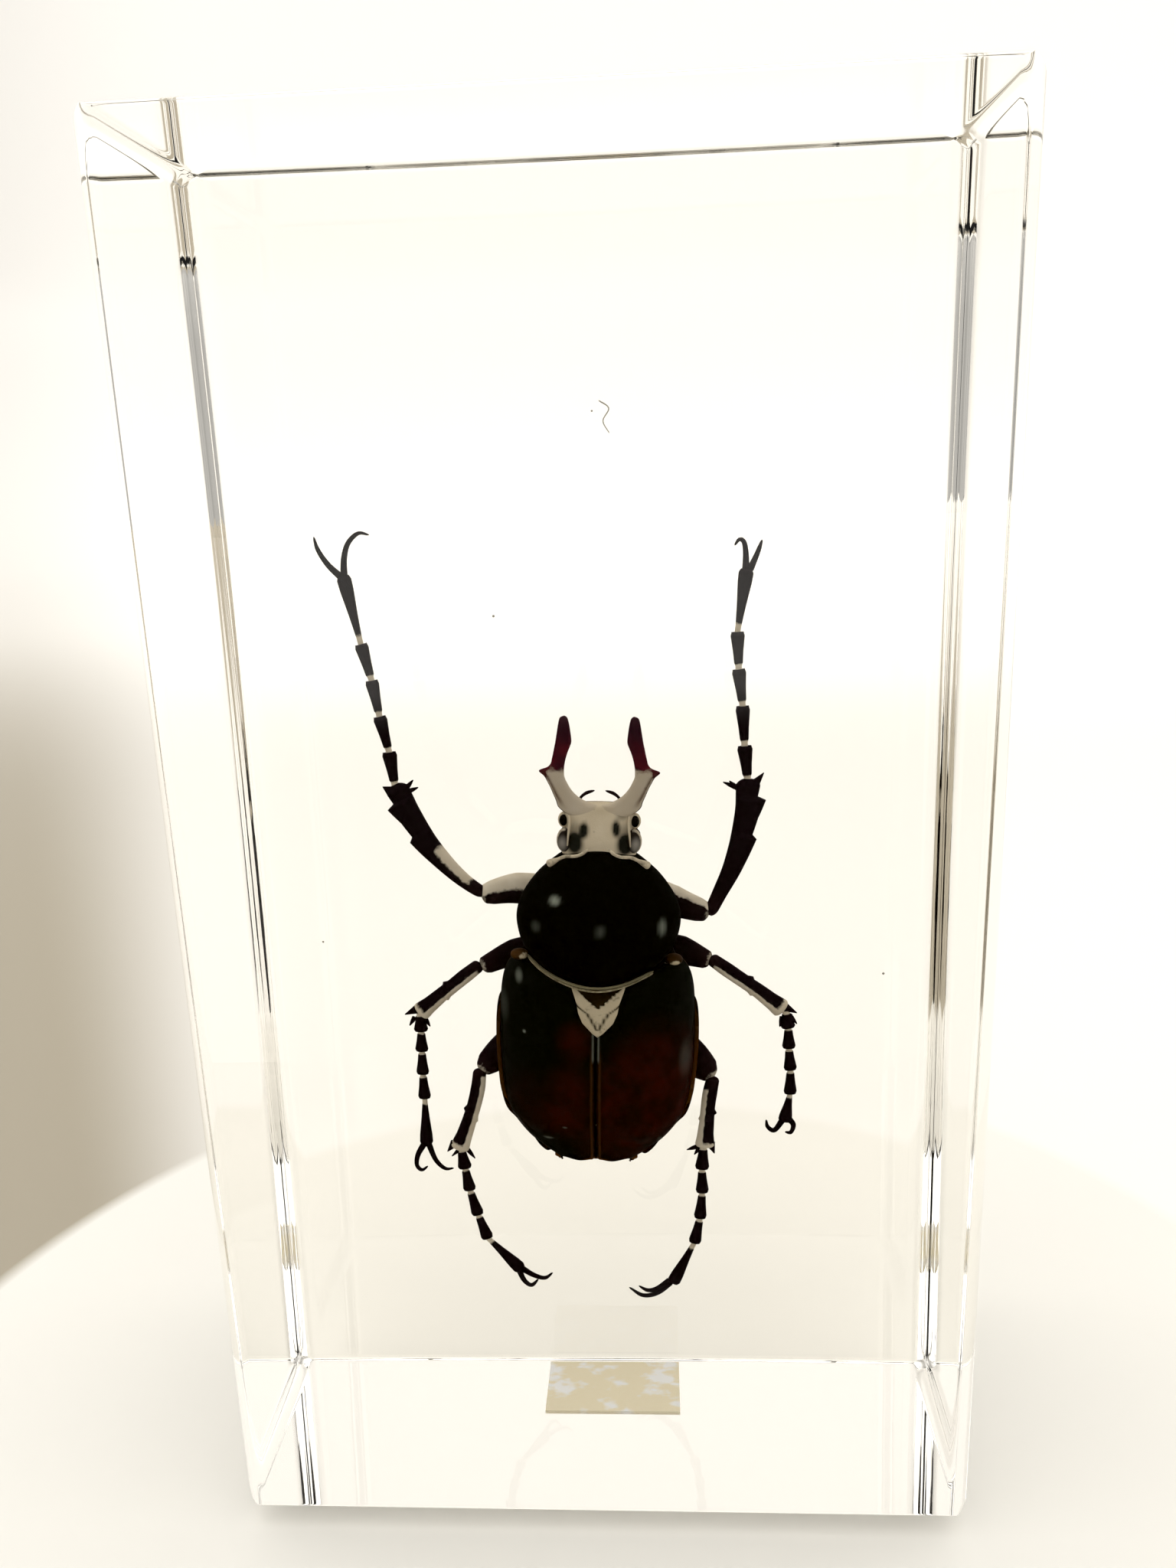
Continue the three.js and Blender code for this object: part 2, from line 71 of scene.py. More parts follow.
def smooth_curve(stops, shares):
    """Points of a smooth curve through rows of numbers, at shares from 0 to 1 of the rows."""
    stops = np.asarray(stops, float)
    ends = np.vstack([2 * stops[0] - stops[1], stops, 2 * stops[-1] - stops[-2]])
    at = np.clip(np.asarray(shares, float), 0, 1) * (len(stops) - 1)
    start = np.minimum(at.astype(int), len(stops) - 2)
    t = (at - start)[..., None]
    a, b, c, d = ends[start], ends[start + 1], ends[start + 2], ends[start + 3]
    bend = (2 * a - 5 * b + 4 * c - d) * t**2 + (3 * b - a - 3 * c + d) * t**3
    return 0.5 * (2 * b + (c - a) * t + bend)


def squarer(value):
    """Makes a round cross-section a little fuller at its corners."""
    return np.sign(value) * np.abs(value) ** section_power


def trunk_rings(stations, middle, rows=120, columns=72):
    """Rings of points up the trunk, through stations of height, half width and rise."""
    at = smooth_curve(stations, np.linspace(0, 1, rows + 2)[1:-1])[:, None, :]
    turn = np.linspace(0, 2 * math.pi, columns, endpoint=False)[None, :]
    depth = squarer(np.sin(turn))
    rise = np.where(depth < 0, at[..., 2], at[..., 3])
    across = at[..., 1] * squarer(np.cos(turn))
    height = np.repeat(at[..., 0], columns, 1)
    return np.stack([across, middle + rise * depth, height], -1)


def on_trunk(points):
    """Turns points from the trunk's own axis into the part's frame."""
    x, y, z = np.moveaxis(np.asarray(points, float), -1, 0)
    sine, cosine = math.sin(trunk_lean), math.cos(trunk_lean)
    return np.stack([x * cosine + z * sine, y, z * cosine - x * sine + tail_height], -1)


def faces_between(rings):
    """The faces from each ring of points to the next, and the numbers of the points in each ring."""
    number = np.arange(rings.shape[0] * rings.shape[1]).reshape(rings.shape[:2])
    beside = np.roll(number, -1, axis=1)
    faces = np.stack([number[:-1], beside[:-1], beside[1:], number[1:]], -1)
    return faces.reshape(-1, 4).tolist(), number.tolist()


def closed_skin(rings):
    """Points and faces over rings, closed at both ends by a point in the middle of the ring."""
    points = np.vstack([rings.reshape(-1, 3), rings[0].mean(0), rings[-1].mean(0)])
    faces, number = faces_between(rings)
    for pole, ring in ((len(points) - 2, number[0]), (len(points) - 1, number[-1])):
        faces += [[pole, here, beside] for here, beside in zip(ring, ring[1:] + ring[:1])]
    return points, faces


def shade_for(values, rings):
    """A value for each point of a closed skin, from one for each point of its rings, or for all."""
    spread = np.broadcast_to(values, rings.shape[:2]).astype(float)
    return np.concatenate([spread.ravel(), [spread[0].mean(), spread[-1].mean()]])


def new_object(name, data):
    """An object in the scene that shows the given mesh or camera."""
    made = bpy.data.objects.new(name, data)
    bpy.context.scene.collection.objects.link(made)
    return made


def make_piece(name, points, faces, material, **shades):
    """A mesh object from points in millimetres. Each shade is a number for each point."""
    mesh = bpy.data.meshes.new(name)
    mesh.from_pydata((np.asarray(points) * millimetre).tolist(), [], faces)
    for shade, values in shades.items():
        mesh.attributes.new(shade, "FLOAT", "POINT").data.foreach_set("value", values.astype(np.float32))
    shell = bmesh.new()
    shell.from_mesh(mesh)
    bmesh.ops.recalc_face_normals(shell, faces=shell.faces)
    shell.to_mesh(mesh)
    shell.free()
    mesh.shade_smooth()
    mesh.materials.append(material)
    return new_object(name, mesh)


def skinned_piece(name, rings, material, **shades):
    """A closed piece over rings. Each shade is a number for each point of the rings, or for all."""
    points, faces = closed_skin(rings)
    spread = {shade: shade_for(values, rings) for shade, values in shades.items()}
    return make_piece(name, points, faces, material, **spread)


def part_of_beetle(made):
    """Attaches a piece of the beetle to the root, and hides the beetle, which is one solid in the part."""
    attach(made, "root")
    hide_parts("beetle")


def soft_step(value, low, high):
    """0 below low, 1 above high, and a smooth rise between."""
    t = np.clip((value - low) / (high - low), 0, 1)
    return t * t * (3 - 2 * t)


def colour(sheet):
    """An sRGB hex colour as the linear one that Blender's sockets take."""
    parts = [int(sheet[i:i + 2], 16) / 255 for i in (1, 3, 5)]
    return [p / 12.92 if p <= 0.04045 else ((p + 0.055) / 1.055) ** 2.4 for p in parts] + [1.0]


def add_node(tree, kind, inputs=None, **settings):
    """Adds a node with its settings. An input is a value, or another node's output to link."""
    node = tree.nodes.new(kind)
    for setting, value in settings.items():
        setattr(node, setting, value)
    for socket, value in (inputs or {}).items():
        if isinstance(value, bpy.types.NodeSocket):
            tree.links.new(value, node.inputs[socket])
        else:
            node.inputs[socket].default_value = value
    return node


# Beetle cuticle, grown chitin with a white waxy powder in places. In the resin it hardly
# reflects, so the eye gets a deep velvety black, brown or red where it is thin, and chalky powder.
thin_edge_brown = "#6a4322"
stale_powder = "#b9a98d"            # the powder where it has yellowed
wetted_ior = 1.05                   # of cuticle against resin, in place of cuticle against air


def blank_material(name):
    """A new material and its node tree, which is empty."""
    material = bpy.data.materials.new(name)
    material.use_nodes = True
    material.node_tree.nodes.clear()
    return material, material.node_tree


def per_millimetre(size):
    """A noise texture's scale for features of a size in millimetres, on metres."""
    return 1 / (size * millimetre)


def cuticle(name, dark, warm, powder, haze="#83887c", roughness=0.55, grain=0.12, relief=0.02,
            ragged=0.5):
    """Cuticle that takes four shades of the piece by name: warm, rim, powder, and a second colour on top that
    is partly grey haze and partly painted sheen.
    """
    material, tree = blank_material(name)
    place = add_node(tree, "ShaderNodeTexCoord").outputs["Object"]
    patches = add_node(tree, "ShaderNodeTexNoise", {
        "Vector": place, "Scale": per_millimetre(1.6), "Detail": 3.0, "Roughness": 0.6})
    crumbs = add_node(tree, "ShaderNodeTexNoise", {
        "Vector": place, "Scale": per_millimetre(0.35), "Detail": 5.0, "Roughness": 0.7})
    grains = add_node(tree, "ShaderNodeTexNoise", {
        "Vector": place, "Scale": per_millimetre(grain), "Detail": 2.0, "Roughness": 0.6})
    thinness, edge, coating, haze_and_sheen_amount = (
        add_node(tree, "ShaderNodeAttribute", attribute_name=shade).outputs["Fac"]
        for shade in ("warm", "rim", "powder", "haze"))
    mottle = add_node(tree, "ShaderNodeMapRange", {
        "Value": patches.outputs["Fac"], "From Min": 0.35, "From Max": 0.65, "To Min": 0.35})
    warmth = add_node(tree, "ShaderNodeMath", {0: thinness, 1: mottle.outputs["Result"]},
                      operation="MULTIPLY")
    chitin = add_node(tree, "ShaderNodeMix", {
        "Factor": warmth.outputs[0], "A": colour(dark), "B": colour(warm)}, data_type="RGBA")
    edged = add_node(tree, "ShaderNodeMix", {
        "Factor": edge, "A": chitin.outputs["Result"], "B": colour(thin_edge_brown)},
        data_type="RGBA")
    wander = add_node(tree, "ShaderNodeMapRange", {
        "Value": crumbs.outputs["Fac"], "From Min": 0.25, "From Max": 0.75,
        "To Min": -ragged, "To Max": ragged})
    reach = add_node(tree, "ShaderNodeMath", {0: coating, 1: wander.outputs["Result"]},
                     operation="ADD")
    cover = add_node(tree, "ShaderNodeMapRange", {
        "Value": reach.outputs[0], "From Min": 0.3, "From Max": 0.75})
    chalk = add_node(tree, "ShaderNodeMix", {
        "Factor": patches.outputs["Fac"], "A": colour(powder), "B": colour(stale_powder)},
        data_type="RGBA")
    finish = add_node(tree, "ShaderNodeMix", {
        "Factor": cover.outputs["Result"], "A": edged.outputs["Result"],
        "B": chalk.outputs["Result"]}, data_type="RGBA")
    # Over all lies a second colour: grey haze and bare dark patches, and on the cheeks and wing cases also
    # painted sheen and glints.
    hazed = add_node(tree, "ShaderNodeMix", {
        "Factor": haze_and_sheen_amount, "A": finish.outputs["Result"], "B": colour(haze)}, data_type="RGBA")
    dullness = add_node(tree, "ShaderNodeMapRange", {
        "Value": cover.outputs["Result"], "To Min": roughness, "To Max": 0.95})
    bump = add_node(tree, "ShaderNodeBump", {
        "Height": grains.outputs["Fac"], "Strength": 0.6, "Distance": relief * millimetre})
    shader = add_node(tree, "ShaderNodeBsdfPrincipled", {
        "Base Color": hazed.outputs["Result"], "Roughness": dullness.outputs["Result"],
        "Normal": bump.outputs["Normal"], "IOR": wetted_ior})
    add_node(tree, "ShaderNodeOutputMaterial", {"Surface": shader.outputs["BSDF"]})
    return material


belly_cuticle = cuticle("belly_cuticle", dark="#0d0a0a", warm="#33160c", powder="#cfc6b4")

rings = trunk_rings(underside_stations, underside_middle, rows=180)
x, y, z = np.moveaxis(rings, -1, 0)
behind = soft_step(y, underside_middle, underside_middle + 0.8)
on_belly = 1 - soft_step(z, belly_top - 0.3, belly_top)
y += behind * on_belly * belly_plate_step * (1 - z % belly_plate_length / belly_plate_length)
in_groove = 1 - soft_step(np.abs(x), 0, breast_groove["half_width"])
on_breast = soft_step(z, belly_top, belly_top + 0.6)
on_breast *= 1 - soft_step(z, breast_groove["top"], breast_groove["top"] + 0.4)
y -= behind * on_breast * in_groove * breast_groove["depth"]
part_of_beetle(skinned_piece("underside", on_trunk(rings), belly_cuticle))

# The six hip joints, broad black knuckles grown into the breast, with a blunt keel between the
# middle pair. They are swollen lumps sunk halfway into the underside.
hips = [
    {"x": 1.5, "z": 15.9, "y": 2.7, "half": (1.3, 0.9, 1.1)},
    {"x": 1.9, "z": 12.0, "y": 3.0, "half": (1.7, 0.85, 1.0)},
    {"x": 2.2, "z": 8.2, "y": 2.9, "half": (2.3, 0.8, 1.2)},
]
keel = {"middle": (0, 3.3, 13.6), "half": (0.55, 0.7, 1.2)}
hands = {"left": -1, "right": 1}


def lump_rings(middle, half, rows=22, columns=28):
    """Rings of an egg shape round its middle, by its half sizes across, in depth and in height."""
    tilt = np.linspace(0, math.pi, rows + 2)[1:-1][:, None]
    turn = np.linspace(0, 2 * math.pi, columns, endpoint=False)[None, :]
    unit = np.stack([np.sin(tilt) * np.cos(turn), np.sin(tilt) * np.sin(turn),
                     np.repeat(-np.cos(tilt), columns, 1)], -1)
    return unit * np.asarray(half, float) + np.asarray(middle, float)


for row, hip in zip(("fore", "middle", "hind"), hips):
    for hand, side in hands.items():
        lump = lump_rings((hip["x"] * side, hip["y"], hip["z"]), hip["half"])
        part_of_beetle(skinned_piece(f"hip_{row}_{hand}", on_trunk(lump), belly_cuticle))
part_of_beetle(skinned_piece("breast_keel", on_trunk(lump_rings(keel["middle"], keel["half"])),
                             belly_cuticle))

# The thighs and shins, flattened rods of purple-black cuticle that bend at the knee. The fore
# shins are broad with three teeth, and the others carry a pale powdered stripe on the inner side.
leg_flatness = 0.62                 # depth from front to back, as a share of the width
leg_rows = 90
leg_columns = 26
knee_powder = (0.9, 1.0)            # shares of the thigh's length, from where it begins to where it is full
knee_warmth = (0.55, 0.95)
heel_powder = (0.86, 0.97)          # and of the shin's length
stripe_softness = {"side": 0.3, "start": 0.08, "end": 0.1}
foot_depths = (2.2, 2.3, 2.4, 2.5, 2.6, 2.8)    # the place in depth of each point of a foot
claw_depths = (2.8, 2.7, 2.6, 2.5, 2.4)
fore_leg = {
    "thigh_depths": (2.9, 2.6, 2.0),
    "thigh_upper": [(0, 0.85), (0.5, 0.92), (0.85, 0.7), (1, 0.5)],
    "thigh_lower": [(0, 0.85), (0.5, 0.9), (0.85, 0.7), (1, 0.5)],
    "shin_depths": (2.0, 2.05, 2.1, 2.15, 2.2),
    "shin_outer": [(0, 0.3), (0.16, 0.42), (0.4, 0.7), (0.6, 0.98), (0.625, 0.7), (0.74, 0.8), (0.86, 1.08),
                   (0.88, 0.62), (0.94, 0.68), (1, 0.8)],
    "shin_inner": [(0, 0.42), (0.3, 0.42), (0.55, 0.46), (0.8, 0.56), (0.95, 0.66), (1, 0.55)],
}
walking_leg = {
    "thigh_depths": (3.0, 2.8, 1.9),
    "thigh_powder": (2.0, 3.0),
    "shin_depths": (1.9, 1.95, 2.05, 2.2),
    "shin_outer": [(0, 0.4), (0.25, 0.44), (0.45, 0.42), (0.5, 0.55), (0.53, 0.43), (0.8, 0.48), (1, 0.62)],
    "shin_inner": [(0, 0.36), (0.2, 0.42), (0.55, 0.42), (0.6, 0.5), (0.62, 0.42), (0.85, 0.5), (1, 0.6)],
}
legs = {
    "fore_left": {
        **fore_leg,
        "side": -1,
        "thigh": [(-2.0, 34.5), (-4.2, 34.65), (-6.1, 34.45)],
        "thigh_powder": (-0.15, 0.25),
        "shin": [(-5.9, 34.4), (-7.2, 35.5), (-8.7, 37.4), (-9.9, 39.5), (-10.6, 41.0)],
        "shin_powder": {"from": -0.25, "start": 0.1, "end": 0.42},
        "corner": ((-10.9, 2.2, 40.6), (-11.3, 2.2, 40.85)),
        "spines": [((-10.0, 2.2, 40.7), (-9.55, 2.2, 41.2)), ((-9.95, 2.3, 40.5), (-9.3, 2.3, 40.75))],
        "foot": [(-10.6, 40.9), (-10.8, 42.8), (-11.2, 44.8), (-11.5, 46.8), (-11.95, 48.8), (-12.65, 52.5)],
        "claws": [
            [(-12.75, 52.4), (-13.4, 53.1), (-13.85, 53.9), (-14.0, 54.6)],
            [(-12.6, 52.4), (-12.5, 53.4), (-12.2, 54.2), (-11.6, 54.7), (-11.0, 54.6)],
        ],
    },
    "fore_right": {
        **fore_leg,
        "side": 1,
        "thigh": [(2.8, 34.7), (4.8, 33.75), (6.8, 33.15)],
        "thigh_powder": (0.35, 0.7),
        "shin": [(6.8, 33.0), (7.4, 34.4), (8.1, 36.2), (8.75, 38.8), (9.0, 40.9)],
        "shin_powder": {"from": 2.0, "start": 0.0, "end": 0.2},
        "corner": ((9.3, 2.2, 40.5), (9.85, 2.2, 41.2)),
        "spines": [((8.3, 2.2, 40.4), (7.6, 2.2, 40.7)), ((8.4, 2.3, 40.3), (7.95, 2.3, 40.75))],
        "foot": [(8.95, 40.8), (8.8, 42.7), (8.7, 44.9), (8.5, 46.9), (8.45, 48.9), (8.95, 52.2)],
        "claws": [
            [(8.9, 52.1), (8.9, 53.0), (8.8, 53.6), (8.55, 53.75), (8.3, 53.45)],
            [(9.1, 52.1), (9.5, 53.0), (9.75, 53.7)],
        ],
    },
    "middle_left": {
        **walking_leg,
        "side": -1,
        "thigh": [(-2.3, 31.1), (-4.3, 30.8), (-6.35, 30.15)],
        "thigh_upper": [(0, 0.75), (0.5, 0.78), (1, 0.45)],
        "thigh_lower": [(0, 0.75), (0.5, 0.8), (0.9, 0.6), (1, 0.4)],
        "shin": [(-6.3, 30.3), (-7.35, 29.5), (-8.9, 28.25), (-10.15, 27.2)],
        "shin_powder": {"from": 0.05, "start": 0.06, "end": 1.0},
        "corner": ((-10.2, 2.2, 27.5), (-11.0, 2.2, 27.15)),
        "spines": [((-10.4, 2.2, 27.0), (-10.75, 2.2, 26.45)), ((-9.8, 2.2, 26.9), (-9.55, 2.3, 26.35))],
        "foot": [(-10.1, 27.2), (-10.1, 26.1), (-10.15, 24.8), (-10.2, 23.3), (-10.2, 21.7), (-10.3, 18.6)],
        "claws": [
            [(-10.4, 18.7), (-10.85, 17.95), (-10.95, 17.3), (-10.65, 17.0), (-10.25, 17.3)],
            [(-10.2, 18.7), (-9.8, 17.6), (-9.25, 17.05), (-8.7, 17.1)],
        ],
    },
    "middle_right": {
        **walking_leg,
        "side": 1,
        "thigh": [(3.4, 31.1), (5.2, 30.75), (6.85, 30.35)],
        "thigh_upper": [(0, 0.8), (0.5, 0.85), (1, 0.45)],
        "thigh_lower": [(0, 0.8), (0.5, 0.9), (0.9, 0.62), (1, 0.4)],
        "shin": [(6.75, 30.5), (7.95, 29.6), (9.6, 28.35), (11.0, 27.15)],
        "shin_powder": {"from": 0.05, "start": 0.06, "end": 1.0},
        "corner": ((11.0, 2.2, 27.4), (11.75, 2.2, 27.0)),
        "spines": [((10.9, 2.2, 26.8), (10.75, 2.2, 26.15)), ((11.3, 2.2, 26.9), (11.75, 2.3, 26.3))],
        "foot": [(11.1, 27.1), (11.25, 26.1), (11.3, 24.8), (11.4, 23.4), (11.4, 21.85), (11.1, 20.0)],
        "claws": [
            [(11.0, 20.1), (10.5, 19.45), (10.1, 19.7), (10.0, 20.2)],
            [(11.3, 20.2), (11.6, 19.8), (11.45, 19.35), (11.1, 19.4)],
        ],
    },
    "hind_left": {
        **walking_leg,
        "side": -1,
        "thigh": [(-3.0, 26.2), (-5.3, 24.75), (-6.7, 23.6)],
        "thigh_upper": [(0, 0.95), (0.5, 1.0), (0.85, 0.75), (1, 0.4)],
        "thigh_lower": [(0, 0.95), (0.5, 1.05), (0.85, 0.75), (1, 0.4)],
        "shin": [(-6.7, 23.8), (-6.95, 22.3), (-7.5, 20.5), (-8.3, 18.4)],
        "shin_powder": {"from": 0.1, "start": 0.04, "end": 1.0},
        "corner": ((-8.5, 2.2, 18.9), (-9.0, 2.2, 18.3)),
        "spines": [((-8.1, 2.2, 18.6), (-8.75, 2.2, 18.0)), ((-7.8, 2.2, 18.5), (-7.35, 2.3, 17.8))],
        "foot": [(-8.15, 18.5), (-8.0, 17.2), (-7.8, 15.7), (-7.4, 14.0), (-6.9, 12.35), (-4.95, 10.1)],
        "claws": [
            [(-4.95, 10.2), (-4.2, 9.75), (-3.5, 9.6), (-3.0, 10.0)],
            [(-5.1, 10.1), (-4.8, 9.4), (-4.35, 9.1), (-3.9, 9.55)],
        ],
    },
    "hind_right": {
        **walking_leg,
        "side": 1,
        "thigh": [(3.6, 25.6), (5.6, 24.3), (6.9, 23.1)],
        "thigh_upper": [(0, 0.95), (0.5, 1.05), (0.85, 0.8), (1, 0.4)],
        "thigh_lower": [(0, 0.95), (0.5, 1.1), (0.85, 0.8), (1, 0.4)],
        "shin": [(6.9, 23.2), (6.65, 21.8), (6.5, 20.3), (6.35, 18.5)],
        "shin_powder": {"from": 0.1, "start": 0.14, "end": 1.0},
        "corner": ((6.7, 2.2, 18.8), (6.95, 2.2, 18.1)),
        "spines": [((6.0, 2.2, 18.6), (5.3, 2.2, 18.35)), ((6.1, 2.3, 18.5), (5.75, 2.3, 18.0))],
        "foot": [(6.3, 18.6), (6.2, 17.1), (6.2, 15.5), (6.05, 13.75), (5.7, 12.05), (4.35, 9.2)],
        "claws": [
            [(4.3, 9.3), (3.4, 8.55), (2.5, 8.4), (1.65, 9.0)],
            [(4.2, 9.4), (3.4, 8.85), (2.8, 8.75), (2.25, 9.1)],
        ],
    },
}


leg_cuticle = cuticle("leg_cuticle", dark="#150d12", warm="#25171a", powder="#ece4d4", roughness=0.5,
                      ragged=0.35)


def at_depths(places, depths):
    """Points from places across and up, each at the next of the depths."""
    return [(x, y, z) for (x, z), y in zip(places, depths)]


def blade_rings(path, first, second, toward, flatness, rows=leg_rows, columns=leg_columns, ends=0.06):
    """Rings along a smooth path, with the share along it and the place across it of each point.

    The two lists give the half width on the side that faces toward, and on the other side, at
    shares of the length. The ends are rounded over a share of the length."""
    line = smooth_curve(path, np.linspace(0, 1, 240))
    lengths = np.concatenate([[0], np.cumsum(np.linalg.norm(np.diff(line, axis=0), axis=1))])
    stops = [share for share, _ in [*first, *second] if 0 < share < 1]
    shares = np.linspace(0.004, 0.996, rows)
    shares = np.unique(np.clip(np.concatenate([shares, stops, np.array(stops) + 0.004]), 0.004, 0.996))
    centre = np.stack([np.interp(shares * lengths[-1], lengths, line[:, i]) for i in range(3)], 1)
    along = np.gradient(centre, shares, axis=0)
    along /= np.linalg.norm(along, axis=1, keepdims=True)
    across = np.cross(along, (0, 1, 0))
    across /= np.linalg.norm(across, axis=1, keepdims=True)
    if (across @ np.asarray(toward, float)).sum() < 0:
        across = -across
    deep = np.cross(across, along)
    near = np.interp(shares, *zip(*first))[:, None]
    far = np.interp(shares, *zip(*second))[:, None]
    if ends:
        from_end = np.clip(np.minimum(shares, 1 - shares) / ends, 0, 1)
        rounded = np.sqrt(1 - (1 - from_end) ** 2)[:, None]
        near, far = near * rounded, far * rounded
    turn = np.linspace(0, 2 * math.pi, columns, endpoint=False)[None, :]
    sideways = np.where(np.cos(turn) > 0, near, far) * squarer(np.cos(turn))
    depth = (near + far) / 2 * flatness * squarer(np.sin(turn))
    rings = centre[:, None] + across[:, None] * sideways[..., None] + deep[:, None] * depth[..., None]
    share, place = shares[:, None] + 0 * sideways, np.cos(turn) + 0 * sideways
    return rings, share, place


for name, leg in legs.items():
    thigh, shin = (at_depths(leg[part], leg[f"{part}_depths"]) for part in ("thigh", "shin"))
    rings, share, place = blade_rings(thigh, leg["thigh_upper"], leg["thigh_lower"], (0, 0, 1), leg_flatness)
    part_of_beetle(skinned_piece(
        f"thigh_{name}", rings, leg_cuticle,
        powder=soft_step(place, *leg["thigh_powder"]) + 0.5 * soft_step(share, *knee_powder),
        warm=soft_step(share, *knee_warmth)))
    stripe = leg["shin_powder"]
    rings, share, place = blade_rings(shin, leg["shin_outer"], leg["shin_inner"], (leg["side"], 0, 0),
                                      leg_flatness)
    powder = soft_step(-place, stripe["from"], stripe["from"] + stripe_softness["side"])
    powder *= soft_step(share, stripe["start"], stripe["start"] + stripe_softness["start"])
    powder *= 1 - soft_step(share, stripe["end"], stripe["end"] + stripe_softness["end"])
    if stripe["end"] == 1:
        powder = np.maximum(powder, soft_step(share, *heel_powder))
    part_of_beetle(skinned_piece(f"shin_{name}", rings, leg_cuticle, powder=powder,
                                 warm=1 - soft_step(share, 0.0, 0.25)))

# The spines at the end of each shin and the two hooked claws at the end of each foot, sharp
# tapering horn of the same purple-black cuticle. Each is a thin rod drawn to a point.
spine_half_widths = [(0, 0.16), (0.5, 0.12), (1, 0.03)]
corner_half_widths = [(0, 0.3), (0.5, 0.16), (1, 0.02)]
claw_half_widths = [(0, 0.2), (0.35, 0.16), (0.75, 0.12), (1, 0.05)]
spine_flatness = 0.9
spines_per_shin = 3

for name, leg in legs.items():
    spines = [(leg["corner"], corner_half_widths)]
    spines += [(spine, spine_half_widths) for spine in leg["spines"]]
    spines += [(at_depths(claw, claw_depths), claw_half_widths) for claw in leg["claws"]]
    for number, (path, widths) in enumerate(spines):
        kind = "spine" if number < spines_per_shin else "claw"
        rings, _, _ = blade_rings(path, widths, widths, (1, 0, 0.1), spine_flatness, rows=24, columns=12,
                                  ends=0.04)
        part_of_beetle(skinned_piece(f"{kind}_{name}_{number}", rings, leg_cuticle))

# The foot joints, five to each leg: trumpets of black cuticle with a pale stalk, each set in the
# mouth of the one before. One trumpet is placed along all the feet, and a longer one at the ends.
trumpet_half_widths = [(0, 0.46), (0.14, 0.46), (0.22, 0.62), (0.5, 0.74), (0.78, 0.92), (0.9, 1.0),
                       (1, 0.84)]
claw_joint_half_widths = [(0, 0.38), (0.15, 0.4), (0.45, 0.62), (0.8, 0.95), (0.94, 1.0), (1, 0.75)]
trumpet_ends = (0.42, 0.39, 0.38, 0.38)     # half widths of the mouths, from the ankle outwards
claw_joint_end = 0.4
joint_depth = 0.8
joint_overlap = 0.06
mouth_hollow = 0.12


def unit_joint(name, profile, hollow):
    """A foot joint one unit long up Z and one unit in half width, with a hollow mouth."""
    upright = [(0, 0, 0), (0, 0, 0.5), (0, 0, 1)]
    rings, share, _ = blade_rings(upright, profile, profile, (1, 0, 0), joint_depth, rows=26, columns=16,
                                  ends=0)
    mouth = rings[-1].copy()
    for shrink, sink in ((0.86, 0.25), (0.6, 0.7), (0.3, 1.0)):
        inner = mouth.mean(0) + (mouth - mouth.mean(0)) * shrink
        inner[:, 2] -= hollow * sink
        rings = np.concatenate([rings, inner[None]])
    corner = 0.1 * soft_step(np.abs(mouth[:, 0]), 0.8, 1.0)
    rings[len(share) - 1, :, 2] += corner
    rings[len(share) - 1, :, 0] *= 1 + corner
    stalk = 1 - soft_step(rings[..., 2], 0.12, 0.24)
    points, faces = closed_skin(rings)
    return make_piece(name, points / millimetre, faces, leg_cuticle, powder=shade_for(stalk, rings))


def joint_tree():
    """Geometry nodes that set a joint on each point, turned along its aim and scaled to its size."""
    tree = bpy.data.node_groups.new("foot_joints", "GeometryNodeTree")
    for name, kind in (("Points", "NodeSocketGeometry"), ("Joint", "NodeSocketObject"),
                       ("Finish", "NodeSocketMaterial")):
        tree.interface.new_socket(name, in_out="INPUT", socket_type=kind)
    tree.interface.new_socket("Geometry", in_out="OUTPUT", socket_type="NodeSocketGeometry")
    given = add_node(tree, "NodeGroupInput").outputs
    joint = add_node(tree, "GeometryNodeObjectInfo", {"Object": given["Joint"]})
    aim = add_node(tree, "GeometryNodeInputNamedAttribute", {"Name": "aim"}, data_type="FLOAT_VECTOR")
    size = add_node(tree, "GeometryNodeInputNamedAttribute", {"Name": "size"}, data_type="FLOAT_VECTOR")
    upright = add_node(tree, "FunctionNodeAlignRotationToVector", {
        "Vector": aim.outputs["Attribute"]}, axis="Z")
    level = add_node(tree, "FunctionNodeAlignRotationToVector", {
        "Rotation": upright.outputs["Rotation"], "Vector": (0, 1, 0)}, axis="Y", pivot_axis="Z")
    placed = add_node(tree, "GeometryNodeInstanceOnPoints", {
        "Points": given["Points"], "Instance": joint.outputs["Geometry"],
        "Rotation": level.outputs["Rotation"], "Scale": size.outputs["Attribute"]})
    real = add_node(tree, "GeometryNodeRealizeInstances", {"Geometry": placed.outputs["Instances"]})
    finished = add_node(tree, "GeometryNodeSetMaterial", {
        "Geometry": real.outputs["Geometry"], "Material": given["Finish"]})
    add_node(tree, "NodeGroupOutput", {"Geometry": finished.outputs["Geometry"]})
    return tree


def settle(made):
    """Keeps what an object's modifiers make of it as its own plain mesh."""
    graph = bpy.context.evaluated_depsgraph_get()
    mesh = bpy.data.meshes.new_from_object(made.evaluated_get(graph), depsgraph=graph)
    made.modifiers.clear()
    made.data = mesh
    mesh.shade_smooth()
    return made


def nodes_to_mesh(made, tree, inputs):
    """Runs a node tree over an object with named inputs, and keeps its result as a plain mesh."""
    modifier = made.modifiers.new(tree.name, "NODES")
    modifier.node_group = tree
    sockets = {item.name: item.identifier for item in tree.interface.items_tree if item.in_out == "INPUT"}
    for name, value in inputs.items():
        modifier[sockets[name]] = value
    return settle(made)


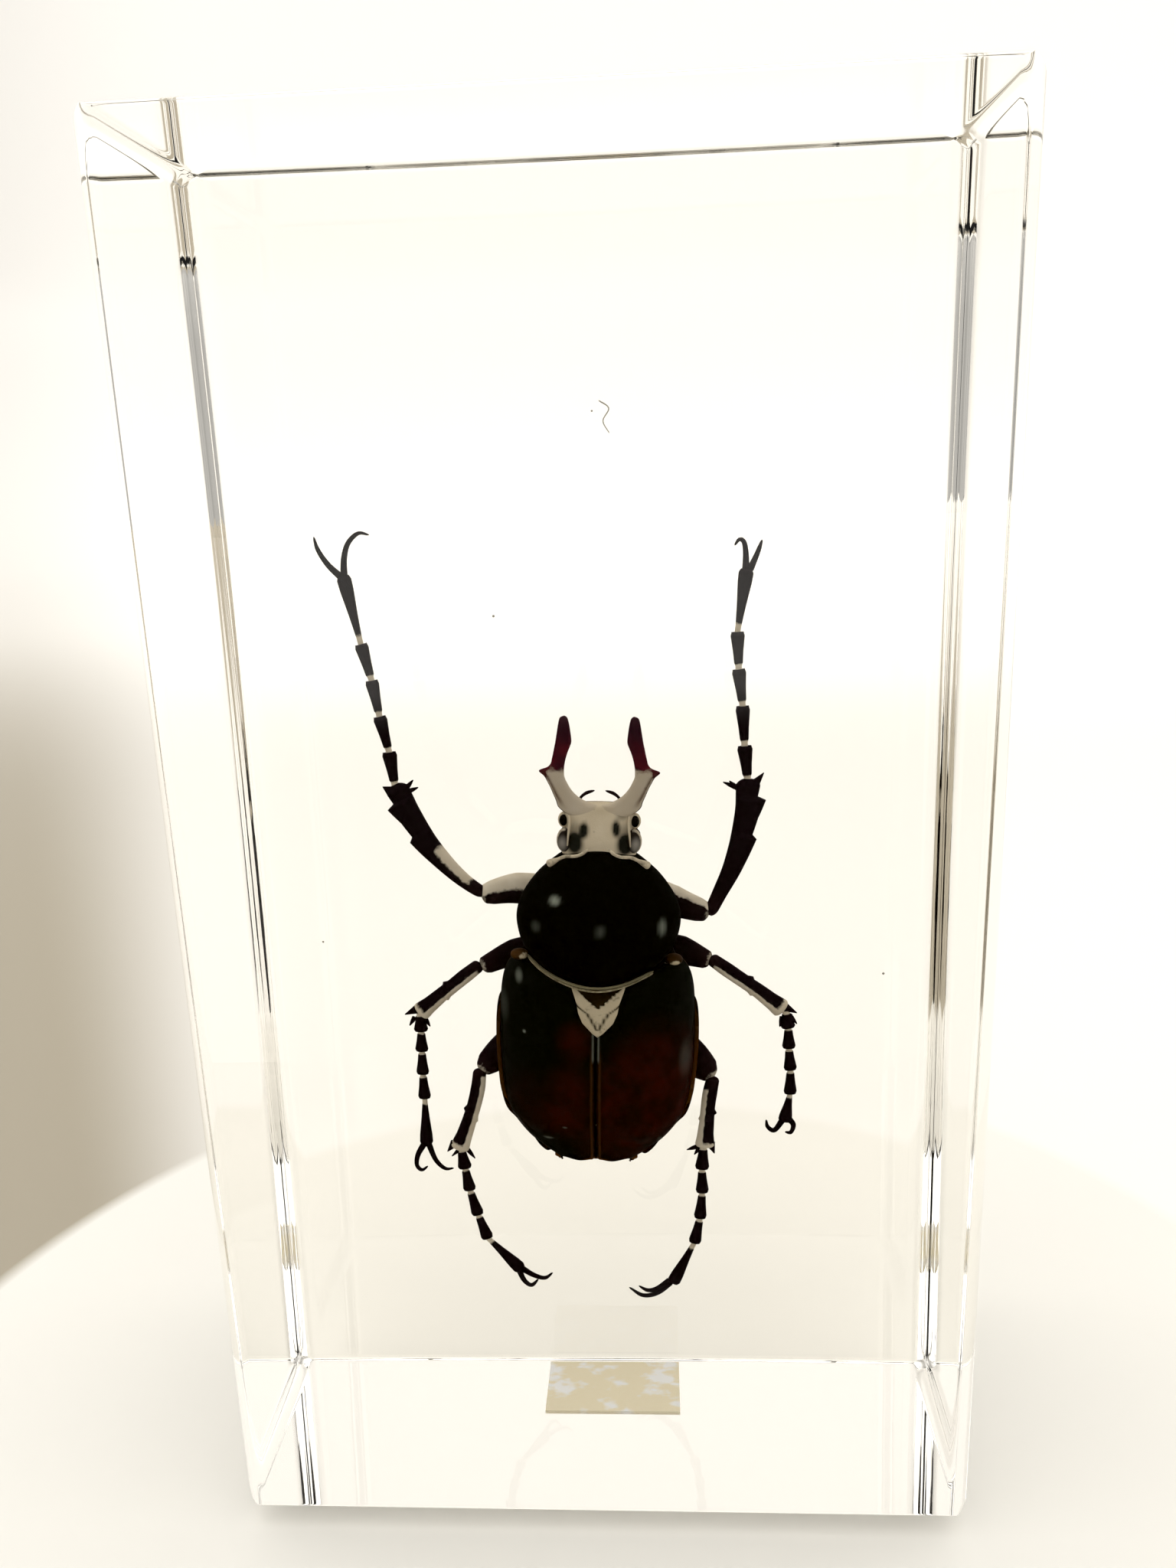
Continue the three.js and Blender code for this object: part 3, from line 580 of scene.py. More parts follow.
def joint_points(name, stretches):
    """Loose points for the joint tree, from stretches of start, end and half width."""
    starts, ends, widths = (np.array(column, float) for column in zip(*stretches))
    ways = ends - starts
    lengths = np.linalg.norm(ways, axis=1)
    mesh = bpy.data.meshes.new(name)
    mesh.from_pydata(((starts - ways * joint_overlap) * millimetre).tolist(), [], [])
    sizes = np.stack([widths, widths, lengths * (1 + joint_overlap)], 1) * millimetre
    for attribute, values in (("aim", ways / lengths[:, None]), ("size", sizes)):
        mesh.attributes.new(attribute, "FLOAT_VECTOR", "POINT").data.foreach_set(
            "vector", values.astype(np.float32).ravel())
    return new_object(name, mesh)


foot_joint_tree = joint_tree()
feet = [at_depths(leg["foot"], foot_depths) for leg in legs.values()]
trumpets = [(foot[i], foot[i + 1], end) for foot in feet for i, end in enumerate(trumpet_ends)]
claw_joints = [(foot[-2], foot[-1], claw_joint_end) for foot in feet]
for name, stretches, profile, hollow in (
    ("foot_joints", trumpets, trumpet_half_widths, mouth_hollow),
    ("claw_joints", claw_joints, claw_joint_half_widths, 0),
):
    pattern = unit_joint(f"one_of_{name}", profile, hollow)
    made = nodes_to_mesh(joint_points(name, stretches), foot_joint_tree,
                         {"Joint": pattern, "Finish": leg_cuticle})
    bpy.data.objects.remove(pattern)
    part_of_beetle(made)

# The wing cases, two hard domed shells that meet down the middle of the back. They are black,
# turning dark red where the shell is thin, with a raised edge along the seam and round the rim.
wing_case_middle = 0.45
wing_case_stations = [              # height, half width, rise in front, at the outer edge
    (-0.4, 1.6, 0.7),
    (0.05, 2.25, 0.95),
    (0.75, 3.15, 1.4),
    (1.6, 4.05, 1.95),
    (2.9, 4.92, 2.8),
    (4.2, 5.3, 3.35),
    (5.6, 5.45, 3.75),
    (7.6, 5.55, 4.05),
    (9.8, 5.52, 4.05),
    (11.2, 5.4, 3.8),
    (12.1, 5.12, 3.3),
    (12.75, 4.6, 2.7),
]
wing_case_thickness = 0.24
wing_case_gap = 0.05                # half the slit of the seam
wing_case_rows = 220
wing_case_columns = 140
seam_ridge = {"x": 0.22, "half_width": 0.09, "height": 0.08, "brown_half_width": 0.07, "brown": 0.3}
rear_half = (6.8, 8.4)              # the seam's ridge fades out between these heights
seam_slope = {"half_width": 0.14, "depth": 0.2}
calluses = [                        # soft bumps at the shoulder and before the tip
    {"x": 4.3, "z": 10.6, "radius": 1.0, "height": 0.16},
    {"x": 2.7, "z": 2.1, "radius": 0.9, "height": 0.2},
]
red_areas = {                       # where the red shows through: middle, half sizes and strength
    1: [(3.4, 5.4, 3.8, 5.2, 1.4), (1.8, 3.0, 3.0, 4.4, 1.2), (1.0, 6.4, 1.4, 1.9, 0.6)],
    -1: [(1.2, 8.3, 1.4, 1.7, 0.9), (1.5, 4.2, 2.0, 3.8, 1.0), (3.6, 4.0, 2.2, 3.2, 0.4),
         (0.6, 1.6, 1.0, 2.4, 0.5)],
}
glint_and_silvering_spots = {                  # grey spots: small silvered gaps between the shell and the resin, and painted glints where the shoulder and the bump before the tip catch the light
    -1: [(4.34, 11.75, 0.3, 0.5, 0.5), (4.0, 8.67, 0.13, 0.13, 0.6), (2.72, 1.69, 0.4, 0.16, 0.35),
         (1.75, 2.6, 0.2, 0.1, 0.3), (5.2, 9.8, 0.4, 1.2, 0.1)],
    1: [(3.7, 1.4, 0.25, 0.5, 0.15), (5.0, 7.0, 0.5, 1.6, 0.12)],
}
pale_lines = {"x": 0.15, "half_width": 0.05, "from": 7.0, "to": 9.3, "strength": 0.55}   # by the seam
brown_edge = {"from": 0.985, "side": 0.3, "more_at_tail": 0.4, "tail": (2.0, 7.0)}      # the outer edge
brown_tip = {"reach": 0.012, "fades": (0.4, 0.9), "strength": 0.9}      # the tail's blunt end by the seam
seam_foot = 0.02
seam_length = 12.1
edge_start = 0.07                   # where along the stations the tail's blunt end begins
edge_crowding = 1.15                # above 1, rows of points crowd towards the tail
edge_sweep = 1.6                    # above 1, rows stay level near the seam and bend at the edge
column_crowding = 1.3
edge_tuck = 0.992                   # the outer edge ends just inside the widest outline
tail_wave = {"reach": 0.07, "height": 0.09, "turns": 2.6 * math.pi}
edge_lip = {"from": 0.955, "height": 0.12}
curve_samples = 400


def dome_rise(x, z, at, widest=1):
    """How far forward of its middle a domed shell stands, from rows of height, half width and rise."""
    width = np.interp(z, at[:, 0], at[:, 1])
    around = np.clip(np.abs(x) / width, 0, widest) ** (2 / section_power)
    return np.interp(z, at[:, 0], at[:, 2]) * (1 - around) ** (section_power / 2)


def spot(x, z, middle_x, middle_z, half_width, half_height):
    """A soft round patch: 1 in its middle, 0 from its edge outwards."""
    return 1 - soft_step(np.hypot((x - middle_x) / half_width, (z - middle_z) / half_height), 0.15, 1.0)


def wing_case(side):
    """The points, faces and shades of one wing case, as an open shell before its thickness."""
    up = np.linspace(0, 1, wing_case_rows)[:, None]
    out = np.linspace(0, 1, wing_case_columns)[None, :]
    at = smooth_curve(wing_case_stations, np.linspace(edge_start, 1, curve_samples))
    edge_z = np.interp(up, np.linspace(0, 1, curve_samples) ** edge_crowding, at[:, 0])
    seam_z = seam_foot + up * seam_length
    z = seam_z + (edge_z - seam_z) * out ** edge_sweep
    wave = tail_wave["height"] * np.cos(out * tail_wave["turns"])
    z = z + (1 - soft_step(up, 0, tail_wave["reach"])) * wave
    edge_x = np.interp(edge_z, at[:, 0], at[:, 1])
    x = wing_case_gap + (edge_x * edge_tuck - wing_case_gap) * np.sin(out ** column_crowding * math.pi / 2)
    y = wing_case_middle - dome_rise(x, z, at)
    y = y + seam_slope["depth"] * np.exp(-(x / seam_slope["half_width"]) ** 2)
    rear = 1 - soft_step(z, *rear_half)
    y = y - rear * seam_ridge["height"] * np.exp(-((x - seam_ridge["x"]) / seam_ridge["half_width"]) ** 2)
    for callus in calluses:
        y = y - callus["height"] * spot(x, z, callus["x"], callus["z"], callus["radius"], callus["radius"])
    y = y - edge_lip["height"] * soft_step(out, edge_lip["from"], 1.0)
    points = on_trunk(np.stack([x * side, y, z], -1))
    number = np.arange(x.size).reshape(x.shape)
    faces = np.stack([number[:-1, :-1], number[:-1, 1:], number[1:, 1:], number[1:, :-1]], -1)
    red = sum(strength * spot(x, z, *area) for *area, strength in red_areas[side])
    # Grey spots on the shell: partly small silvered gaps, partly painted glints on the bumps at the shoulder
    # and before the tip.
    glint_and_silvering = sum(strength * spot(x, z, *area) for *area, strength in glint_and_silvering_spots[side])
    rim = soft_step(out, brown_edge["from"], 1.0) * (
        brown_edge["side"] + brown_edge["more_at_tail"] * (1 - soft_step(z, *brown_edge["tail"])))
    ridge = np.exp(-((x - seam_ridge["x"]) / seam_ridge["brown_half_width"]) ** 2)
    rim = np.maximum(rim, seam_ridge["brown"] * rear * ridge)
    rim = np.maximum(rim, brown_tip["strength"] * (1 - soft_step(up, 0, brown_tip["reach"]))
                     * (1 - soft_step(x, *brown_tip["fades"])))
    lines = pale_lines["strength"] * np.exp(-((x - pale_lines["x"]) / pale_lines["half_width"]) ** 2)
    lines *= soft_step(z, pale_lines["from"], pale_lines["from"] + 0.4) * (z < pale_lines["to"])
    shades = {"warm": np.clip(red, 0, 1), "haze": np.clip(glint_and_silvering + lines, 0, 1), "rim": rim}
    spread = {shade: np.broadcast_to(value, x.shape).ravel() for shade, value in shades.items()}
    return points.reshape(-1, 3), faces.reshape(-1, 4).tolist(), spread


wing_case_cuticle = cuticle("wing_case_cuticle", dark="#060806", warm="#2f0d09", powder="#6d7370",
                            roughness=0.5, grain=0.1, ragged=0.25)
for hand, side in hands.items():
    points, faces, shades = wing_case(side)
    shell = make_piece(f"wing_case_{hand}", points, faces, wing_case_cuticle, **shades)
    faces_front = sum(face.normal.y * face.area for face in shell.data.polygons) < 0
    if not faces_front:
        shell.data.flip_normals()
    wall = shell.modifiers.new("wall", "SOLIDIFY")
    wall.thickness = wing_case_thickness * millimetre
    wall.offset = -1
    part_of_beetle(settle(shell))

# The scutellum, the small triangular shield between the wing cases: black with a pale powdered
# V along its two sides. It is a thin plate that lies on the slope of the wing cases.
scutellum_middle = 0.1
scutellum_outline = [(8.75, 0.02), (8.95, 0.3), (9.55, 0.85), (10.1, 1.08), (10.63, 1.17), (11.43, 1.45),
                     (11.9, 1.55)]  # height and half width
scutellum_fold = [(9.1, 0.0), (9.57, 0.26), (10.1, 0.56), (10.45, 1.05), (10.8, 1.4)]
fold_shade = {"from": 9.15, "to": 10.75, "half_width": 0.07, "strength": 1.3}
scutellum_notch = {"tip": 10.4, "slope": 0.85}
scutellum_border_from = 10.6
scutellum_lift = 0.12
scutellum_depth = 0.5
scutellum_rows = 60
scutellum_columns = 40

scutellum_cuticle = cuticle("scutellum_cuticle", dark="#0f0b07", warm="#33240f", powder="#d0c5aa",
                            haze="#1c160d", grain=0.08, ragged=0.4)
heights, half_widths = np.array(scutellum_outline, float).T
z = np.linspace(heights[-1], heights[0], scutellum_rows)[:, None]
turn = np.linspace(0, 2 * math.pi, scutellum_columns, endpoint=False)[None, :]
half_width = np.interp(z, heights, half_widths)
x = half_width * squarer(np.cos(turn))
z = z + 0 * x
bulge = squarer(np.sin(turn))
back = wing_case_middle - dome_rise(x, z, smooth_curve(wing_case_stations, np.linspace(0, 1, curve_samples)))
y = back + np.where(bulge < 0, scutellum_lift * (bulge - 0.5), scutellum_depth * bulge)
rings = np.stack([x + scutellum_middle, y, z], -1)
fold = np.interp(z, *zip(*scutellum_fold))
beside_fold = np.abs(x) - fold
notch = soft_step(z - scutellum_notch["tip"] - scutellum_notch["slope"] * np.abs(x), -0.06, 0.12)
fold_line = fold_shade["strength"] * np.exp(-(beside_fold / fold_shade["half_width"]) ** 2)
fold_line *= (z < fold_shade["to"]) * (z > fold_shade["from"])
border = soft_step(np.abs(x) / half_width, 0.93, 1.0) * (z > scutellum_border_from)
part_of_beetle(skinned_piece(
    "scutellum", on_trunk(rings), scutellum_cuticle,
    powder=np.clip(0.85 - notch, 0, 1) + 0.5 * border, warm=notch * 0.8, haze=np.clip(fold_line, 0, 1)))

# The pronotum, the big shield behind the head: velvety black cuticle over a domed form, with a
# few soft grey spots. Its hind edge carries a thin double rim of bare olive-beige horn.
pronotum_middle = 0.2
pronotum_stations = [
    (11.45, 0, 0, 0),
    (11.52, 1.0, 3.95, 1.2),
    (11.7, 1.8, 4.1, 1.35),
    (11.95, 2.55, 4.18, 1.5),
    (12.3, 3.25, 4.2, 1.6),
    (12.85, 3.85, 4.18, 1.7),
    (13.6, 4.33, 4.15, 1.7),
    (14.9, 4.57, 3.95, 1.7),
    (16.1, 4.25, 3.5, 1.6),
    (17.3, 3.45, 2.85, 1.4),
    (18.1, 2.6, 2.3, 1.2),
    (18.6, 1.9, 1.8, 1.0),
    (18.95, 1.0, 1.3, 0.7),
    (19.15, 0, 0, 0),
]
grey_spots = [                      # in the part's frame: place across and up, half sizes, strength
    (-1.65, 35.15, 0.4, 0.38, 1.0),
    (-2.75, 33.7, 0.38, 0.46, 0.16),
    (0.66, 33.6, 0.24, 0.66, 0.5),
    (4.12, 33.5, 0.28, 0.66, 0.6),
]
rim_path = [(-3.85, 12.85), (-3.27, 12.35), (-2.44, 11.98), (-1.61, 11.73), (-0.78, 11.58), (0.05, 11.53),
            (0.88, 11.6), (1.71, 11.76), (2.53, 12.05), (3.1, 12.2)]
rim_lines = [                       # the double ridge: rise above its hind edge, half width, powder
    (0.0, 0.085, 0.45),
    (0.17, 0.07, 0.15),
]
rim_depth = 2.4                     # as a share of the ridge's width
rim_clearance = 0.25                # the rim lies on the pronotum's surface this far above its edge
rim_lift = 0.05

pronotum_cuticle = cuticle("pronotum_cuticle", dark="#030303", warm="#1d100c", powder="#83887c",
                           roughness=0.8, grain=0.06, relief=0.03, ragged=0.2)
rings = on_trunk(trunk_rings(pronotum_stations, pronotum_middle, rows=150, columns=110))
x, y, z = np.moveaxis(rings, -1, 0)
in_front = soft_step(-y, 0, 1)
spots = sum(strength * spot(x, z, *area) for *area, strength in grey_spots)
part_of_beetle(skinned_piece("pronotum", rings, pronotum_cuticle, haze=spots * in_front))

rim_horn = cuticle("rim_horn", dark="#6f6a52", warm="#857a5d", powder="#c6bd9f", ragged=0.3)
at = smooth_curve(pronotum_stations, np.linspace(0, 1, curve_samples))
for number, (lift, half_width, powder) in enumerate(rim_lines):
    x, z = smooth_curve(rim_path, np.linspace(0, 1, 30)).T
    z = z + lift
    y = pronotum_middle - dome_rise(x, z + rim_clearance, at, widest=0.97) - rim_lift
    path = on_trunk(np.stack([x, y, z], -1))
    widths = [(0, half_width), (1, half_width * 0.7)]
    rings, _, _ = blade_rings(path, widths, widths, (0, 0, 1), rim_depth, rows=120, columns=12)
    part_of_beetle(skinned_piece(f"pronotum_rim_{number}", rings, rim_horn, warm=0.5, powder=powder))

# The corner plates that show between the pronotum and the wing cases, brown cuticle with a pale
# powdered spot. Each is a small lump wedged in the corner at one shoulder.
corner_plates = {                   # middle, half sizes, and the spot: middle and half sizes
    "left": ((-4.3, -1.7, 12.98), (0.5, 0.7, 0.3), (-4.05, 12.98, 0.3, 0.3)),
    "right": ((4.2, -1.7, 12.9), (0.5, 0.7, 0.3), (4.3, 12.8, 0.45, 0.28)),
}
corner_cuticle = cuticle("corner_cuticle", dark="#1d120a", warm="#432c15", powder="#c9bfa2", ragged=0.4)
for hand, (middle, half, pale_spot) in corner_plates.items():
    rings = lump_rings(middle, half)
    x, _, z = np.moveaxis(rings, -1, 0)
    part_of_beetle(skinned_piece(f"corner_plate_{hand}", on_trunk(rings), corner_cuticle,
                                 powder=spot(x, z, *pale_spot) * 0.9, warm=soft_step(z, 12.7, 13.1)))

# The head: a short capsule and a dished front plate between the horns, black under a white waxy
# powder, with bare dark patches. The eyes sit in pale rings, with a painted sheen on the cheek behind each.
head_middle = 0.1
head_stations = [
    (17.6, 0, 0, 0),
    (18.3, 1.9, 1.2, 1.2),
    (19.1, 1.88, 1.35, 1.3),
    (20.0, 1.86, 1.2, 1.25),
    (20.8, 1.95, 0.95, 1.0),
    (21.3, 1.45, 0.7, 0.6),
    (21.45, 0, 0, 0),
]
bare_patches = [                    # place across and up, half sizes, strength
    (-1.33, 19.2, 0.68, 0.85, 1.1),
    (1.45, 19.15, 0.68, 0.85, 1.1),
    (-0.8, 20.0, 0.36, 0.64, 1.0),
    (0.92, 20.12, 0.32, 0.66, 1.0),
    (1.26, 20.85, 0.5, 0.45, 0.45),
    (-1.25, 19.8, 0.6, 0.9, 0.4),
    (1.35, 19.75, 0.6, 0.9, 0.35),
]
eye = {"x": 1.95, "y": -0.3, "z": 20.42, "half": (0.23, 0.32, 0.32)}
eye_ring = {"x": 1.9, "y": -0.1, "z": 20.42, "half": (0.36, 0.3, 0.46)}
cheek = {"x": 1.85, "y": -0.3, "z": 19.3, "half": (0.48, 0.6, 0.7)}
eye_ridge = [(1.62, -0.72, 20.8), (1.6, -0.8, 20.3), (1.66, -0.84, 19.7), (1.72, -0.84, 19.05)]
eye_ridge_half_widths = [(0, 0.05), (0.5, 0.07), (1, 0.04)]

head_cuticle = cuticle("head_cuticle", dark="#0d0c0a", warm="#1a1410", powder="#ded3bd", haze="#1c1d19",
                       grain=0.08, ragged=0.3)
rings = trunk_rings(head_stations, head_middle, rows=110, columns=90)
x, y, z = np.moveaxis(rings, -1, 0)
bare = sum(strength * spot(x, z, *area) for *area, strength in bare_patches)
part_of_beetle(skinned_piece("head", on_trunk(rings), head_cuticle,
                             powder=soft_step(-y, -0.6, 0.2) * 0.9, haze=np.clip(1.35 * bare, 0, 1)))

eye_facets = cuticle("eye_facets", dark="#0a0807", warm="#2a1a12", powder="#8a8378", roughness=0.3)
cheek_cuticle_with_painted_sheen = cuticle("cheek_cuticle_with_painted_sheen", dark="#241d1a", warm="#4a3a30", powder="#d8d1c4", haze="#a5a098",
                        ragged=0.3)
for hand, side in hands.items():
    for name, form, material, white in (("eye", eye, eye_facets, 0), ("eye_ring", eye_ring, head_cuticle, 1)):
        rings = on_trunk(lump_rings((form["x"] * side, form["y"], form["z"]), form["half"]))
        part_of_beetle(skinned_piece(f"{name}_{hand}", rings, material, powder=white))
    rings = lump_rings((cheek["x"] * side, cheek["y"], cheek["z"]), cheek["half"])
    outwards = (rings[..., 0] * side - cheek["x"]) / cheek["half"][0]
    upwards = (rings[..., 2] - cheek["z"]) / cheek["half"][2]
    # The pale grey spot on each cheek is a painted sheen, laid on the dark cuticle.
    part_of_beetle(skinned_piece(
        f"cheek_{hand}", on_trunk(rings), cheek_cuticle_with_painted_sheen,
        powder=0.75 * soft_step(np.hypot(outwards, upwards), 0.72, 0.95) * soft_step(outwards, -0.4, 0.1),
        haze=0.75 * spot(outwards, upwards, 0.3, -0.25, 0.8, 0.9)))
    rings, _, _ = blade_rings(on_trunk(np.array(eye_ridge) * (side, 1, 1)), eye_ridge_half_widths,
                              eye_ridge_half_widths, (side, 0, 0), 1.2, rows=40, columns=10)
    part_of_beetle(skinned_piece(f"eye_ridge_{hand}", rings, head_cuticle, powder=1))

# The pale seams of skin between the pronotum and the head, one to each side. Each is a thin wavy
# ridge along the pronotum's front edge that ends in a small lobe.
neck_seam = [(2.75, -1.3, 18.12), (2.3, -1.6, 18.4), (1.8, -1.75, 18.66), (1.25, -1.8, 18.7),
             (0.85, -1.75, 18.84), (0.55, -1.6, 19.08)]
neck_seam_half_widths = [(0, 0.24), (0.15, 0.18), (0.3, 0.1), (0.9, 0.09), (1, 0.05)]
for hand, side in hands.items():
    rings, _, _ = blade_rings(on_trunk(np.array(neck_seam) * (side, 1, 1)), neck_seam_half_widths,
                              neck_seam_half_widths, (0, 0, 1), 1.0, rows=80, columns=12)
    part_of_beetle(skinned_piece(f"neck_seam_{hand}", rings, head_cuticle, powder=0.7))

# The front plate and its two horns, one broad dished blade that runs out on both sides past a spur
# into a blunt tip. It is powdered white below the spurs, wine red above them and purple-black on top.
horn_sections = [                   # outer edge x, z; inner edge x, z; place in depth; half depth
    (1.88, 26.47, 1.78, 26.47, -2.42, 0.06),
    (2.06, 26.36, 1.66, 26.36, -2.38, 0.16),
    (2.15, 26.03, 1.58, 26.05, -2.25, 0.22),
    (2.23, 25.55, 1.52, 25.63, -2.05, 0.25),
    (2.32, 25.00, 1.47, 25.04, -1.8, 0.27),
    (2.39, 24.65, 1.55, 24.72, -1.62, 0.27),
    (2.46, 24.30, 1.68, 24.38, -1.48, 0.27),
    (2.53, 24.00, 1.79, 24.00, -1.34, 0.27),
    (2.60, 23.72, 1.86, 23.65, -1.2, 0.28),
    (2.79, 23.50, 1.89, 23.40, -1.12, 0.28),
    (3.24, 23.28, 1.89, 23.20, -1.02, 0.28),
    (2.97, 22.98, 1.88, 22.98, -0.95, 0.3),
    (2.80, 22.65, 1.77, 22.68, -0.85, 0.33),
    (2.64, 22.30, 1.58, 22.30, -0.72, 0.36),
    (2.50, 21.93, 1.30, 21.93, -0.6, 0.4),
    (2.35, 21.55, 0.92, 21.63, -0.5, 0.43),
    (2.20, 21.15, 0.48, 21.41, -0.44, 0.46),
    (1.65, 20.75, 0.15, 21.35, -0.42, 0.48),
    (0.80, 20.45, 0.04, 21.33, -0.4, 0.48),
]
horn_middle = (0.0, 20.35, 0.0, 21.33, -0.4, 0.48)
bloom_ends = (23.0, 23.8)           # heights between which the powder ends, and the red comes and goes
red_begins = (22.6, 23.4)
red_fades = (24.3, 25.4)
horn_streak = {"place": 0.62, "half_width": 0.18, "starts": (21.0, 21.8)}
horn_rows = 260
horn_columns = 36
horn_cuticle = cuticle("horn_cuticle", dark="#2a1622", warm="#5a1722", powder="#cbc2b6", haze="#4a2b20",
                       roughness=0.45, grain=0.08, ragged=0.3)
mirror = np.array((-1, 1, -1, 1, 1, 1))
sections = np.array([*horn_sections, horn_middle, *(np.array(horn_sections[::-1]) * mirror)], float)
at = smooth_curve(sections, np.linspace(0, 1, horn_rows))
turn = np.linspace(0, 2 * math.pi, horn_columns, endpoint=False)[None, :]
outer, inner = at[:, None, 0:2], at[:, None, 2:4]
across = (outer + inner) / 2 + (outer - inner) / 2 * squarer(np.cos(turn))[..., None]
depth = at[:, 4:5] + at[:, 5:6] * squarer(np.sin(turn)) * np.where(np.sin(turn) < 0, 0.75, 1)
rings = np.stack([across[..., 0], depth, across[..., 1]], -1)
x, _, z = np.moveaxis(rings, -1, 0)
place = np.cos(turn) + 0 * x
bloom = 1 - soft_step(z, *bloom_ends)
streak = np.exp(-((place - horn_streak["place"]) / horn_streak["half_width"]) ** 2)
streak *= soft_step(z, *horn_streak["starts"])
outer_edge = soft_step(place, 0.88, 0.98) * soft_step(np.abs(x), 1.6, 2.0)
outer_edge = np.maximum(outer_edge, soft_step(np.abs(x), 2.75, 3.0))
part_of_beetle(skinned_piece(
    "front_plate", on_trunk(rings), horn_cuticle,
    powder=np.clip(bloom * (0.95 - outer_edge - 0.25 * streak), 0, 1),
    warm=soft_step(z, *red_begins) * (1 - 0.75 * soft_step(z, *red_fades)),
    haze=np.clip(0.75 * streak * bloom, 0, 1)))

# The mouth feelers that show between the horns and the two folded antennae beside the head,
# thin jointed rods of brown-black cuticle, each antenna with a small leafy club.
mouth_feeler = [(1.3, 0.5, 20.8), (1.1, 0.6, 21.45), (0.78, 0.6, 21.78), (0.28, 0.6, 21.96)]
antenna_stalk = [(1.4, 1.0, 20.4), (1.8, 1.25, 20.1), (2.0, 1.3, 19.6)]
antenna_club = [(1.95, 1.3, 19.75), (2.0, 1.35, 19.2), (1.95, 1.4, 18.6)]
feeler_shapes = {
    "mouth_feeler": (mouth_feeler, [(0, 0.12), (0.5, 0.08), (0.75, 0.1), (1, 0.06)]),
    "antenna_stalk": (antenna_stalk, [(0, 0.16), (0.3, 0.11), (1, 0.13)]),
    "antenna_club": (antenna_club, [(0, 0.1), (0.25, 0.24), (0.7, 0.26), (1, 0.12)]),
}
for hand, side in hands.items():
    for name, (path, widths) in feeler_shapes.items():
        rings, _, _ = blade_rings(on_trunk(np.array(path) * (side, 1, 1)), widths, widths,
                                  (side, 0, 0.3), 0.9, rows=40, columns=14, ends=0.15)
        part_of_beetle(skinned_piece(f"{name}_{hand}", rings, leg_cuticle, warm=0.6))

# The label under the block, buff paper pasted under the foot, with paler patches where the
# paste has soaked in. It is a thin sheet whose top is wetted by the resin.
paper, tree = blank_material("buff_paper")
place = add_node(tree, "ShaderNodeTexCoord").outputs["Object"]
soaked = add_node(tree, "ShaderNodeTexNoise", {
    "Vector": place, "Scale": per_millimetre(2.4), "Detail": 3.0, "Roughness": 0.55})
fibres = add_node(tree, "ShaderNodeTexNoise", {
    "Vector": place, "Scale": per_millimetre(0.25), "Detail": 4.0, "Roughness": 0.7})
patch = add_node(tree, "ShaderNodeMapRange", {
    "Value": soaked.outputs["Fac"], "From Min": 0.52, "From Max": 0.6})
tone = add_node(tree, "ShaderNodeMix", {
    "Factor": fibres.outputs["Fac"], "A": colour("#f3e7c6"), "B": colour("#f9efd4")}, data_type="RGBA")
sheet_colour = add_node(tree, "ShaderNodeMix", {
    "Factor": patch.outputs["Result"], "A": tone.outputs["Result"], "B": colour("#ffffff")},
    data_type="RGBA")
grain = add_node(tree, "ShaderNodeBump", {
    "Height": fibres.outputs["Fac"], "Strength": 0.4, "Distance": 0.02 * millimetre})
shader = add_node(tree, "ShaderNodeBsdfPrincipled", {
    "Base Color": sheet_colour.outputs["Result"], "Roughness": 0.9, "Normal": grain.outputs["Normal"]})
add_node(tree, "ShaderNodeOutputMaterial", {"Surface": shader.outputs["BSDF"]})
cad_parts["label"].data.materials.clear()
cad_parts["label"].data.materials.append(paper)

# The block, clear casting resin poured in two layers that have become one, sawn and polished. It
# is one closed solid with rounded edges, and stands for both halves of the parted block.
block_low, block_high = (np.array(corner) / millimetre for corner in (
    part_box("resin_front")[0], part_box("resin_back")[1]))
label_low, label_high = (np.array(corner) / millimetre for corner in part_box("label"))
upright_edge_radius = 1.35          # the four edges that run up the block
depth_edge_radius = 0.8             # the four edges that run from the front face to the back face
level_edge_radius = 0.3             # the four edges that run across the front and the back face
arc_steps = 12
flat_border = 0.03                  # a narrow strip that keeps the flats flat beside the arcs
label_wetting = 0.02                # how far the label's top and edges reach into the resin
recess_foot = 1.0                   # how far the shape that cuts the recess reaches below the foot


def block_outline(inset_x, inset_z):
    """The block's outline in X and Z, drawn in from its sides, with its four corners as arcs."""
    low = block_low[[0, 2]] + (inset_x, inset_z)
    high = block_high[[0, 2]] - (inset_x, inset_z)
    radius = max(depth_edge_radius - max(inset_x, inset_z), flat_border)
    outline = []
    for quarter, (corner_x, corner_z) in enumerate((
        (high[0] - radius, low[1] + radius),
        (high[0] - radius, high[1] - radius),
        (low[0] + radius, high[1] - radius),
        (low[0] + radius, low[1] + radius),
    )):
        turns = (quarter - 1 + np.linspace(0, 1, arc_steps + 1)) * math.pi / 2
        arc = [(corner_x + radius * math.cos(t), corner_z + radius * math.sin(t)) for t in turns]
        first = (arc[0][0] - flat_border * math.sin(-turns[0]), arc[0][1] - flat_border * math.cos(turns[0]))
        last = (arc[-1][0] - flat_border * math.sin(turns[-1]),
                arc[-1][1] + flat_border * math.cos(turns[-1]))
        outline += [first, *arc, last]
    return np.array(outline)


def edge_inset(depth, radius):
    """How far a rounded edge draws a side in, at a depth below the face beside it."""
    return radius - math.sqrt(radius**2 - max(radius - depth, 0) ** 2)


